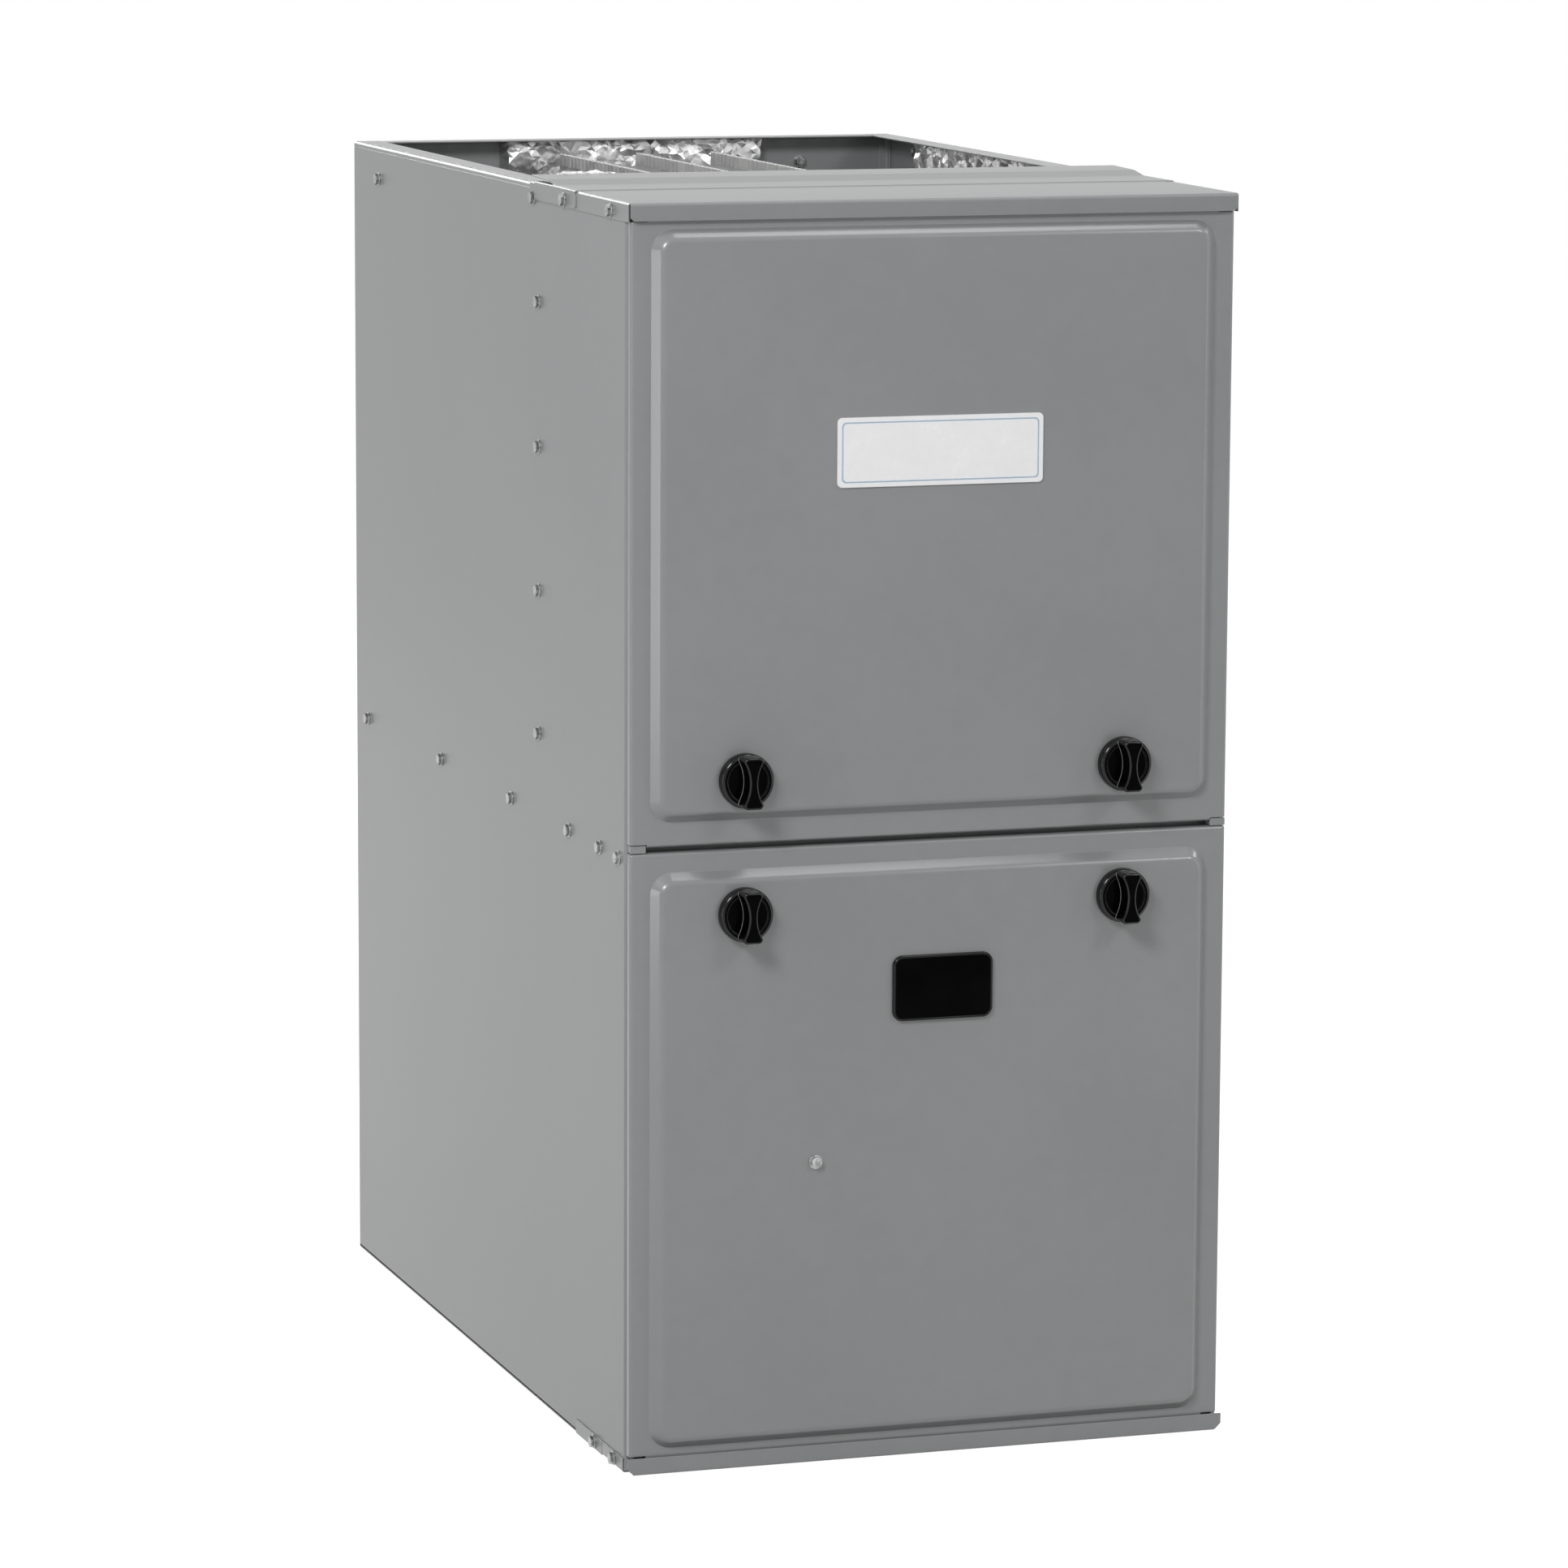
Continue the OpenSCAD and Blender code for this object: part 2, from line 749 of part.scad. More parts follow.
module condensing_coil() color([0.7, 0.71, 0.72]) difference() {
    tube_r = 8;
    fin_step = (cell_length - 40) / (coil_fins - 1);
    union() {
        coil_tubes([cell_front, cell_rear], tube_r);
        coil_frame(fin_step);
    }
    coil_tubes([cell_front - 1, cell_rear + 1], tube_r - 0.8);
}

module coil_frame(fin_step) {
    for (i = [0:coil_fins - 1])
        translate([cell_x - coil_half, cell_front + 20 + i * fin_step - 0.6, coil_low])
            cube([2 * coil_half, 1.2, coil_high - coil_low]);
    for (y = [[cell_front, cell_front + 1.5], [cell_rear - 1.5, cell_rear]])
        block([cell_x - coil_half - 4, cell_x + coil_half + 4], y, [coil_low - 3, coil_high + 3]);
    for (x = [cell_x - coil_half - 4, cell_x + coil_half + 2.5])
        block([x, x + 1.5], [cell_front, cell_rear], [coil_low - 3, coil_high + 3]);
}

module foil_back() color(foil)
    block([cell_x - 98, cell_x + 120], [foil_front, inner_back], [foil_low, foil_high]);

module foil_sides() color(foil)
    both_sides()
        block(
            [inner_w - foil_thick + 1, inner_w],
            [plate_rear + 1, inner_back - 88],
            [foil_low, foil_high]
        );

// Burner space

module burner_box() color(galvanised) difference() {
    x0 = cell_x - box_half;
    x1 = cell_x + box_half;
    union() {
        block([x0, x1], [box_front, panel_y], [box_low, box_low + 1]);
        block([x0, x1], [box_front, panel_y], [box_high - 1, box_high]);
        block([x0, x0 + 1], [box_front, panel_y], [box_low, box_high]);
        block([x1 - 1, x1], [box_front, panel_y], [box_low, box_high]);
        block([x0, x1], [panel_y - 1, panel_y], [box_low, box_high]);
        block([x0, x1], [box_front, box_front + 1], [box_low, box_low + 12]);
        block([x0, x1], [box_front, box_front + 1], [box_high - 12, box_high]);
    }
    for (x = cell_xs)
        rod_y(x, [panel_y - 2, panel_y + 1], burner_z, port_r);
    rod_x([x1 - 2, x1 + 1], air_y, burner_z, pipe_bore_r - 4);
    for (x = [cell_xs[0], cell_xs[2]])
        rod_z(x, panel_y - 8, [box_low - 1, box_low + 2], 6);
}

// Inshot burner seen along its own axis: radius and distance from the mouth
module burners() color([0.62, 0.6, 0.56])
    for (x = cell_xs) {
        translate([x, burner_mouth, burner_z])
            rotate([90, 0, 0])
                rotate_extrude()
                    polygon([
                        [14.5, 0], [16.5, 0], [16.5, 22], [12, 34], [10, 52], [11, 66], [15.5, 78],
                        [14, 78], [9.4, 66], [8.4, 52], [10.4, 34], [14.5, 22],
                    ]);
        // Cross-lighting wings that join neighbouring burners
        for (side = [[-cell_pitch / 2, -15.5], [15.5, cell_pitch / 2]])
            block(
                [x + side[0], x + side[1]],
                [burner_mouth - 14, burner_mouth - 3],
                [burner_z - 1, burner_z + 1]
            );
        block([x - 9, x + 9], [burner_mouth - 20, burner_mouth - 18], [box_low + 1, burner_z - 15.5]);
    }

module manifold() color([0.2, 0.2, 0.21]) {
    bend = 22;
    rod_x([cell_xs[0] - 26, riser_x - bend + e], manifold_y, burner_z, manifold_r);
    rod_x([cell_xs[0] - 36, cell_xs[0] - 26 + e], manifold_y, burner_z, manifold_r + 3);
    translate([riser_x - bend, manifold_y, burner_z - bend])
        rotate([90, 0, 0])
            rotate_extrude(angle = 90)
                translate([bend, 0])
                    circle(r = manifold_r);
    rod_z(riser_x, manifold_y, [valve_top + 7, burner_z - bend + e], manifold_r);
    for (x = cell_xs)
        rod_y(x, [manifold_y, manifold_y + manifold_r + 2], burner_z, 7);
    // Brackets that hang the manifold on the burner box
    for (x = [cell_x - cell_pitch / 2, cell_x + cell_pitch / 2]) {
        block([x - 8, x + 8], [manifold_y, box_front], [burner_z - 1.5, burner_z + 1.5]);
        block([x - 8, x + 8], [box_front - 1.5, box_front], [burner_z - 1.5, box_high - 1]);
    }
}

module orifices() color([0.78, 0.62, 0.3])
    for (x = cell_xs) {
        start = manifold_y + manifold_r + 2;
        translate([x, start + 6, burner_z])
            rotate([90, 0, 0])
                cylinder(r = 6.4, h = 6, $fn = 6);
        rod_y(x, [start + 6 - e, orifice_tip], burner_z, 4.6);
    }

module gas_valve() color([0.6, 0.61, 0.62]) difference() {
    x0 = riser_x - valve_wide / 2;
    x1 = riser_x + valve_wide / 2;
    union() {
        block([x0, x1], [valve_front, valve_rear], [valve_low + 8, valve_top]);
        block([x0 + 8, x1 - 8], [valve_front + 8, valve_rear - 8], [valve_low, valve_top]);
        rod_x([x1 - e, x1 + 16], manifold_y, gas_z, 17);
        rod_z(riser_x, manifold_y, [valve_top - e, valve_top + 7], 15);
        rod_y(riser_x - 12, [valve_front - 12, valve_front + e], gas_z + 12, 11);
        rod_y(riser_x - 12, [valve_front - 16, valve_front - 12 + e], gas_z + 12, 7);
        rod_z(riser_x + 16, valve_front + 20, [valve_top - e, valve_top + 11], 9);
        block([x0 + 6, x1 - 6], [valve_front - 5, valve_front + e], [valve_low + 11, gas_z - 5]);
    }
    rod_x([x1 - 2, x1 + 17], manifold_y, gas_z, gas_bore_r);
    // Recess that the on and off slide runs in
    block(
        [riser_x - 12, riser_x + 12],
        [valve_front - 6, valve_front - 3],
        [gas_z - 19, gas_z - 9]
    );
}

module valve_switch() color([0.75, 0.1, 0.08])
    block(
        [riser_x - 11.5, riser_x - 2.5],
        [valve_front - 11, valve_front - 3],
        [gas_z - 18.7, gas_z - 9.3]
    );

module igniter() color([0.88, 0.87, 0.82]) {
    block([cell_xs[2] - 9, cell_xs[2] + 9], [panel_y - 17, panel_y - 2], [box_low - 18, box_low]);
    block([cell_xs[2] - 2.5, cell_xs[2] + 2.5], [panel_y - 10, panel_y - 7], [box_low - e, burner_z - 8]);
}

module flame_sensor() color([0.88, 0.87, 0.82]) {
    block([cell_xs[0] - 12, cell_xs[0] + 12], [panel_y - 15, panel_y - 2], [box_low - 1.5, box_low]);
    rod_z(cell_xs[0], panel_y - 8, [box_low - 20, box_low - 1.5 + e], 5);
    rod_z(cell_xs[0], panel_y - 8, [box_low - e, burner_z - 4], 1.4);
}

reset_xs = [cell_xs[0] + 4, cell_xs[2] - 4];
reset_y = panel_y - 74;
reset_high = box_high + 9;

module rollout_switches() color(black)
    for (x = reset_xs)
        difference() {
            union() {
                block([x - 16, x + 16], [reset_y - 5, reset_y + 5], [box_high, box_high + 1.2]);
                rod_z(x, reset_y, [box_high, reset_high], 9);
                block([x - 14, x - 8], [reset_y - 3, reset_y + 3], [box_high + 1, box_high + 5]);
                block([x + 8, x + 14], [reset_y - 3, reset_y + 3], [box_high + 1, box_high + 5]);
            }
            rod_z(x, reset_y, [reset_high - 5, reset_high + 1], 2.4 + running_gap);
        }

module reset_button(x)
    rod_z(x, reset_y, [reset_high - 3, reset_high + 3.5], 2.4);

module reset_button_left() color([0.8, 0.12, 0.1]) reset_button(reset_xs[0]);

module reset_button_right() color([0.8, 0.12, 0.1]) reset_button(reset_xs[1]);

module limit_switch() color([0.15, 0.13, 0.12]) {
    x = limit_x;
    z = limit_z;
    rod_y(x, [panel_y - 12, panel_y - 1.5 + e], z, 13);
    block([x - 22, x + 22], [panel_y - 1.5, panel_y], [z - 8, z + 8]);
    rod_y(x, [panel_y - e, panel_y + 36], z, 6);
    block([x - 10, x - 8.8], [panel_y - 22, panel_y - 12 + e], [z - 3, z + 3]);
    block([x + 8.8, x + 10], [panel_y - 22, panel_y - 12 + e], [z - 3, z + 3]);
}

module collector_box() color([0.13, 0.13, 0.14]) {
    block(collector_x, [collector_front, panel_y], [collector_low, collector_high]);
    for (x = [collector_x[0] + 26:52:collector_x[1] - 20])
        block([x - 1.5, x + 1.5], [collector_front + 4, panel_y], [collector_high - e, collector_high + 7]);
    block(
        [collector_x[0] - 7, collector_x[1] + 7],
        [panel_y - 5, panel_y],
        [collector_low - 5, collector_high + 7]
    );
}

module inducer_housing() color([0.16, 0.16, 0.17]) difference() {
    union() {
        rod_y(inducer_x, [inducer_front, collector_front], inducer_z, inducer_r);
        rod_x([inducer_x, outlet_end], vent_y, outlet_z, outlet_r);
        rod_y(inducer_x, [inducer_front + 29, inducer_front + 34], inducer_z, inducer_r + 5);
        for (a = [0:60:300])
            translate([inducer_x, 0, inducer_z])
                rotate([0, a + 10, 0])
                    rod_y(inducer_r + 2, [inducer_front + 24, inducer_front + 39], 0, 5.5);
    }
    rod_y(
        inducer_x,
        [inducer_front + inducer_wall, collector_front - inducer_wall],
        inducer_z,
        inducer_r - inducer_wall
    );
    rod_x([inducer_x, outlet_end + 1], vent_y, outlet_z, outlet_r - inducer_wall);
    rod_y(inducer_x, [inducer_front - 1, inducer_front + inducer_wall + 1], inducer_z, inducer_shaft_r + 6);
    rod_y(inducer_x, [collector_front - inducer_wall - 1, collector_front + 1], inducer_z, 26);
}

module inducer_motor() color([0.24, 0.25, 0.27]) difference() {
    rear = inducer_front;
    union() {
        rod_y(inducer_x, [motor_end, rear - 8], inducer_z, inducer_motor_r);
        rod_y(inducer_x, [motor_end - 4, motor_end + e], inducer_z, inducer_motor_r - 7);
        rod_y(inducer_x, [motor_end + 16, rear - 24], inducer_z, inducer_motor_r + 4);
        for (a = [30, 150, 270])
            translate([inducer_x, 0, inducer_z])
                rotate([0, a, 0])
                    block([14, inducer_motor_r + 22], [rear - 10, rear - 7], [-8, 8]);
        for (a = [30, 150, 270])
            translate([inducer_x, 0, inducer_z])
                rotate([0, a, 0])
                    rod_y(inducer_motor_r + 14, [rear - 8, rear], 0, 5);
    }
    rod_y(inducer_x, [motor_end - 8, rear], inducer_z, inducer_bore_r);
}

module inducer_rotor() color([0.5, 0.51, 0.53]) {
    wheel_front = inducer_front + 12;
    wheel_rear = collector_front - 9;
    rod_y(inducer_x, [fan_front - 3, wheel_rear + 1], inducer_z, inducer_shaft_r);
    rod_y(inducer_x, [wheel_front, wheel_front + 2], inducer_z, impeller_r);
    rod_y(inducer_x, [wheel_front, wheel_rear], inducer_z, 10);
    for (i = [0:impeller_blades - 1])
        translate([inducer_x, 0, inducer_z])
            rotate([0, i * 360 / impeller_blades, 0])
                block([9, impeller_r - 2], [wheel_front + 1, wheel_rear], [-1, 1]);
    // Cooling fan ahead of the motor
    rod_y(inducer_x, [fan_front, fan_front + 8], inducer_z, 9);
    for (i = [0:5])
        translate([inducer_x, fan_front + 4, inducer_z])
            rotate([0, i * 60, 0])
                rotate([35, 0, 0])
                    block([7, 34], [-1, 1], [-7, 7]);
}

// Rubber sleeve along X with two clamp bands; its inner end can take a wider pipe
module sleeve(x, y, z, socket, socket_r) difference() {
    union() {
        rod_x(x, y, z, coupling_r);
        rod_x([x[0] + 8, x[0] + 18], y, z, coupling_r + 1.2);
        rod_x([x[1] - 22, x[1] - 12], y, z, coupling_r + 1.2);
        block([x[0] + 8, x[0] + 18], [y - coupling_r - 6, y - coupling_r + 1], [z - 4, z + 4]);
        block([x[1] - 22, x[1] - 12], [y - coupling_r - 6, y - coupling_r + 1], [z - 4, z + 4]);
    }
    rod_x([x[0] + socket, x[1] + 1], y, z, pipe_bore_r);
    rod_x([x[0] - 1, x[0] + socket + e], y, z, socket_r);
}

module vent_coupling() color([0.1, 0.1, 0.1])
    sleeve([outlet_end - 32, coupling_end], vent_y, outlet_z, 34, outlet_r);

module air_coupling() color([0.1, 0.1, 0.1])
    sleeve([cell_x + box_half, coupling_end], air_y, burner_z, 0, pipe_bore_r);

hose_r = 4;
switch_port_z = burner_z - 190;
hose_z = collector_low + 56;
hose_x = collector_x[0] - 28;
hose_y = panel_y - 19;

module pressure_switch() color([0.82, 0.8, 0.74]) {
    rod_y(hose_x, [panel_y - 30, panel_y - 8], switch_port_z + 38, 31);
    rod_y(hose_x, [panel_y - 36, panel_y - 30 + e], switch_port_z + 38, 16);
    rod_z(hose_x, hose_y, [switch_port_z, switch_port_z + 10], 3);
    block(
        [hose_x - 22, hose_x + 22],
        [panel_y - 8 - e, panel_y],
        [switch_port_z + 30, switch_port_z + 50]
    );
    for (x = [hose_x - 6, hose_x + 4.8])
        block(
            [x, x + 1.2],
            [panel_y - 46, panel_y - 36 + e],
            [switch_port_z + 34, switch_port_z + 40]
        );
}

module pressure_hose() color([0.12, 0.1, 0.09]) {
    bend = 18;
    rod_z(hose_x, hose_y, [hose_z + bend - e, switch_port_z], hose_r);
    translate([hose_x + bend, hose_y, hose_z + bend])
        rotate([90, 0, 0])
            rotate([0, 0, 180])
                rotate_extrude(angle = 90)
                    translate([bend, 0])
                        circle(r = hose_r);
    rod_x([hose_x + bend - e, collector_x[0]], hose_y, hose_z, hose_r);
}

module condensate_trap() color([0.1, 0.1, 0.11]) difference() {
    x0 = collector_x[1] + 30;
    x1 = inner_w - 16;
    union() {
        block([x0, x1], [drain_y - 24, drain_y + 28], [shelf_z + 12, shelf_z + 66]);
        block([x0 + 6, x0 + 26], [drain_y - 18, drain_y + 22], [shelf_z + 66 - e, shelf_z + 104]);
        rod_z(x0 + 40, drain_y, [shelf_z + 66 - e, shelf_z + 84], 7);
        rod_x([x1 - e, half_w - 0.3], drain_y, drain_z, drain_r);
        rod_x([collector_x[1] + 7, x0 + e], drain_y + 16, drain_z + 2, 7);
        block([x0 + 4, x1 - 4], [drain_y - 4, drain_y + 4], [shelf_z, shelf_z + 12 + e]);
    }
    rod_x([x1 - 6, half_w + 1], drain_y, drain_z, drain_bore_r);
}

// Blower

// Scroll outline around the wheel axis, grown by a distance
function scroll_points(grow) = concat(
    [[-scroll_start * cos(50) - grow, shelf_under - wheel_z]],
    [for (i = [0:46])
        let (a = 130 + i * 5, r = scroll_start + (scroll_end - scroll_start) * i / 46 + grow)
        [r * cos(a), r * sin(a)]],
    [[scroll_end + grow, shelf_under - wheel_z]]
);

module blower_housing() color(galvanised) difference() {
    sheet = 1;
    union() {
        translate([0, wheel_y, wheel_z])
            on_side(-housing_half)
                linear_extrude(height = 2 * housing_half)
                    polygon(scroll_points(0));
        block(
            [-housing_half - 12, housing_half + 12],
            [duct_front - 12, duct_back + 12],
            [shelf_under - 1, shelf_under]
        );
        // Rolled edge of each inlet
        translate([-housing_half, wheel_y, wheel_z])
            rotate([0, 90, 0])
                translate([0, 0, -4])
                    cylinder(r = inlet_r + 6, h = 2 * housing_half + 8);
    }
    translate([0, wheel_y, wheel_z])
        on_side(-housing_half + sheet)
            linear_extrude(height = 2 * (housing_half - sheet))
                polygon(scroll_points(-sheet));
    block(
        [-housing_half + sheet, housing_half - sheet],
        [duct_front + sheet, duct_back - sheet],
        [shelf_under - 3, shelf_under + 1]
    );
    translate([0, wheel_y, wheel_z])
        rotate([0, 90, 0])
            cylinder(r = inlet_r, h = 2 * housing_half + 12, center = true);
}

module blower_wheel() color([0.68, 0.69, 0.7]) translate([0, wheel_y, wheel_z]) {
    half = wheel_wide / 2;
    blade_in = wheel_r - 25;
    on_side(-half + 1)
        for (i = [0:wheel_blades - 1])
            rotate([0, 0, i * 360 / wheel_blades])
                translate([blade_in + 0.6, 0, 0])
                    rotate([0, 0, 24])
                        cube([23, 1.2, wheel_wide - 2]);
    for (x = [-half, half - 6])
        on_side(x)
            linear_extrude(height = 6)
                difference() {
                    circle(r = wheel_r);
                    circle(r = blade_in);
                }
    difference() {
        union() {
            on_side(hub_x0 + 6) cylinder(r = blade_in + 4, h = 2);
            on_side(hub_x0) cylinder(r = 22, h = 32);
            on_side(motor_x1 - 6) cylinder(r = shaft_r, h = hub_x0 - motor_x1 + 36);
        }
        for (a = [0:60:300])
            on_side(hub_x0)
                rotate([0, 0, a])
                    translate([66, 0, -2])
                        cylinder(r = 18, h = 20);
    }
}

module blower_motor() color([0.22, 0.23, 0.25]) difference() {
    union() {
        translate([0, wheel_y, wheel_z]) {
            on_side(motor_x0 + 5) cylinder(r = motor_r, h = motor_long - 10);
            on_side(motor_x0) cylinder(r = motor_r - 8, h = motor_long);
            on_side(motor_x1 - e) cylinder(r = 18, h = 6);
        }
    }
    translate([0, wheel_y, wheel_z])
        on_side(motor_x1 - 12)
            cylinder(r = motor_bore_r, h = 30);
}

module motor_mount() color(zinc) translate([0, wheel_y, wheel_z]) {
    ring_x = -housing_half - 8;
    difference() {
        on_side(ring_x) cylinder(r = motor_r + 2, h = 34);
        on_side(ring_x - 1) cylinder(r = motor_r, h = 36);
    }
    for (a = [90, 210, 330])
        on_side(ring_x)
            rotate([0, 0, a]) {
                translate([motor_r + 1, -9, 0]) cube([inlet_r + 20 - motor_r, 18, 3]);
                translate([inlet_r + 10, -9, 0]) cube([12, 18, 8]);
            }
}

module capacitor() color([0.7, 0.71, 0.72]) {
    x = housing_half + 26;
    y = duct_front + 40;
    rod_z(x, y, [shelf_z - 110, shelf_z - 24], 22);
    rod_z(x - 8, y, [shelf_z - 24 - e, shelf_z - 16], 3);
    rod_z(x + 8, y, [shelf_z - 24 - e, shelf_z - 16], 3);
    difference() {
        union() {
            rod_z(x, y, [shelf_z - 76, shelf_z - 60], 23);
            block([housing_half, housing_half + 1.2], [y - 30, y + 30], [shelf_z - 76, shelf_z - 60]);
            block([housing_half, x], [y - 1, y + 1], [shelf_z - 76, shelf_z - 60]);
        }
        rod_z(x, y, [shelf_z - 77, shelf_z - 59], 21.9);
    }
}

// Controls

module control_tray() color(galvanised) {
    block([-tray_half, tray_half], [tray_back, tray_back + 1], [tray_low, shelf_under]);
    block([-tray_half, tray_half], [tray_back - 24, tray_back + e], [tray_low, tray_low + 1]);
    both_sides()
        block([tray_half - 1, tray_half], [tray_back - 24, tray_back + e], [tray_low, shelf_under - 20]);
    block([-tray_half, tray_half], [tray_back - 12, tray_back + e], [shelf_under - 1, shelf_under]);
    for (x = [-board_half + 8, board_half - 8])
        for (z = [board_z[0] + 8, board_z[1] - 8])
            rod_y(x, [board_y + 1.6, tray_back + e], z, 3);
}

module control_board() color([0.07, 0.3, 0.16])
    block([-board_half, board_half], [board_y, board_y + 1.6], board_z);

module board_parts() color([0.1, 0.1, 0.11]) {
    z0 = board_z[0];
    z1 = board_z[1];
    for (i = [0:2])
        translate([17 - board_half + i * 26, 0, 0])
            block([0, 20], [board_y - 17, board_y], [z1 - 40, z1 - 12]);
    block([20, board_half - 13], [board_y - 12, board_y], [z1 - 22, z1 - 8]);
    block([-6, 30], [board_y - 4, board_y], [z0 + 58, z0 + 74]);
    block([board_half - 65, board_half - 21], [board_y - 14, board_y], [z0 + 46, z0 + 72]);
    block([15 - board_half, -20], [board_y - 10, board_y], [z0 + 8, z0 + 18]);
    block([30, board_half - 15], [board_y - 11, board_y], [z0 + 8, z0 + 24]);
    for (x = [35, 55])
        rod_y(x - board_half, [board_y - 18, board_y], z0 + 48, 7);
    rod_y(12, [board_y - 7, board_y], z0 + 42, 2.5);
}

module transformer() color([0.32, 0.3, 0.28]) {
    x0 = -inner_w + 26;
    y0 = tray_back - 34;
    block([x0, x0 + 54], [y0, y0 + 46], [shelf_z - 66, shelf_z - 10]);
    block([x0 + 9, x0 + 45], [y0 - 9, y0 + 55], [shelf_z - 56, shelf_z - 20]);
    block([x0 - 10, x0 + 64], [y0 + 8, y0 + 38], [shelf_z - 10 - e, shelf_under]);
}

module door_switch() color(black) difference() {
    block([switch_x - 14, switch_x + 14], [rail_back, rail_back + 26], [switch_z - 11, switch_z + 11]);
    rod_y(switch_x, [rail_back - 1, rail_back + 18], switch_z, plunger_r + running_gap);
}

module switch_plunger() color([0.85, 0.84, 0.8]) {
    rod_y(switch_x, [face_back + 0.3, rail_back + 12], switch_z, plunger_r);
}

module junction_box() color(galvanised) difference() {
    box_y = [wire_y - 30, wire_y + 30];
    box_z = [wire_z - 33, wire_z + 33];
    block([junction_x, inner_w], box_y, box_z);
    block([junction_x + 1, inner_w + 1], [box_y[0] + 1, box_y[1] - 1], [box_z[0] + 1, box_z[1] - 1]);
}

// Doors

// Half of the pressed slope: radius against height, from the flat border up to the raised face
function slope_points(r) = concat(
    [[r + 0.6, 0]],
    [for (i = [0:8]) [r - panel_slope * i / 8, panel_rise * (1 - cos(180 * i / 8)) / 2]],
    [[r - panel_slope - 0.6, panel_rise]],
    [[r - panel_slope - 0.6, panel_rise - door_gauge]],
    [for (i = [8:-1:0]) [r - panel_slope * i / 8, panel_rise * (1 - cos(180 * i / 8)) / 2 - door_gauge]],
    [[r + 0.6, -door_gauge]]
);

module press_edge(length)
    rotate([90, 0, 90])
        linear_extrude(height = length)
            polygon(slope_points(0));

// Raised panel with its soft slope, drawn with its third axis toward the viewer
module pressed_panel(x, z) {
    r = panel_corner;
    corners = [
        [x[1] - r, z[1] - r, 0],
        [x[0] + r, z[1] - r, 90],
        [x[0] + r, z[0] + r, 180],
        [x[1] - r, z[0] + r, 270],
    ];
    for (c = corners)
        translate([c[0], c[1], 0])
            rotate([0, 0, c[2]])
                rotate_extrude(angle = 90)
                    polygon(slope_points(r));
    translate([x[0] + r, z[1], 0]) press_edge(x[1] - x[0] - 2 * r);
    translate([x[1] - r, z[0], 0]) rotate([0, 0, 180]) press_edge(x[1] - x[0] - 2 * r);
    translate([x[0], z[0] + r, 0]) rotate([0, 0, 90]) press_edge(z[1] - z[0] - 2 * r);
    translate([x[1], z[1] - r, 0]) rotate([0, 0, -90]) press_edge(z[1] - z[0] - 2 * r);
    translate([0, 0, panel_rise - door_gauge])
        linear_extrude(height = door_gauge)
            round_rect(
                [x[0] + panel_slope, x[1] - panel_slope],
                [z[0] + panel_slope, z[1] - panel_slope],
                r - panel_slope
            );
}

module door_sheet(outline, x, z)
    translate([0, 0, -door_gauge])
        linear_extrude(height = door_gauge)
            difference() {
                polygon(outline);
                round_rect(x, z, panel_corner);
            }

notch = [door_half - 12, 3.8];

module upper_door() color(enamel) difference() {
    x = [-press_half, press_half];
    tongue_half = door_half - 12;
    outline = [
        [-notch[0], upper_low], [notch[0], upper_low], [notch[0], upper_low + notch[1]],
        [door_half, upper_low + notch[1]], [door_half, lip_low - 0.6], [tongue_half, lip_low - 0.6],
        [tongue_half, lip_low + tongue], [-tongue_half, lip_low + tongue], [-tongue_half, lip_low - 0.6],
        [-door_half, lip_low - 0.6], [-door_half, upper_low + notch[1]], [-notch[0], upper_low + notch[1]],
    ];
    union() {
        on_front(door_y) {
            door_sheet(outline, x, upper_press);
            pressed_panel(x, upper_press);
        }
        both_sides()
            block(
                [door_half - door_gauge, door_half],
                [door_y, casing_y - 0.3],
                [upper_low + notch[1], lip_low - 0.6]
            );
        block([-notch[0], notch[0]], [door_y, casing_y - 0.3], [upper_low, upper_low + door_gauge]);
    }
    for (s = [-1, 1])
        rod_y(s * knob_x, [face_y - 1, face_back + 1], upper_knob_z, knob_bore_r);
}

module upper_pad() color(foil)
    block(
        [-press_half + panel_slope + 2, press_half - panel_slope - 2],
        [face_back, face_back + pad_thick],
        [rail_high + 4, upper_press[1] - panel_slope - 2]
    );

module lower_door() color(enamel) difference() {
    x = [-press_half, press_half];
    tongue_half = door_half - 12;
    outline = [
        [-tongue_half, sill_height - tongue], [tongue_half, sill_height - tongue],
        [tongue_half, sill_height + 0.6], [door_half, sill_height + 0.6],
        [door_half, lower_high - 1.5], [notch[0], lower_high - 1.5],
        [notch[0], lower_high], [-notch[0], lower_high], [-notch[0], lower_high - 1.5],
        [-door_half, lower_high - 1.5], [-door_half, sill_height + 0.6], [-tongue_half, sill_height + 0.6],
    ];
    union() {
        on_front(door_y) {
            door_sheet(outline, x, lower_press);
            pressed_panel(x, lower_press);
        }
        both_sides()
            block(
                [door_half - door_gauge, door_half],
                [door_y, casing_y - 0.3],
                [sill_height + 0.6, lower_high - 1.5]
            );
        block([-notch[0], notch[0]], [door_y, casing_y - 0.3], [lower_high - door_gauge, lower_high]);
    }
    for (s = [-1, 1])
        rod_y(s * knob_x, [face_y - 1, face_back + 1], lower_knob_z, knob_bore_r);
    on_front(face_back + 1)
        linear_extrude(height = door_gauge + 2)
            round_rect(window_span(-2), window_rise(-2), 5);
    rod_y(door_screw_x, [face_y - 1, face_back + 1], door_screw_z, screw_hole_r);
}

function window_span(g) = [window_x - window_wide / 2 - g, window_x + window_wide / 2 + g];

function window_rise(g) = [window_z - window_high / 2 - g, window_z + window_high / 2 + g];

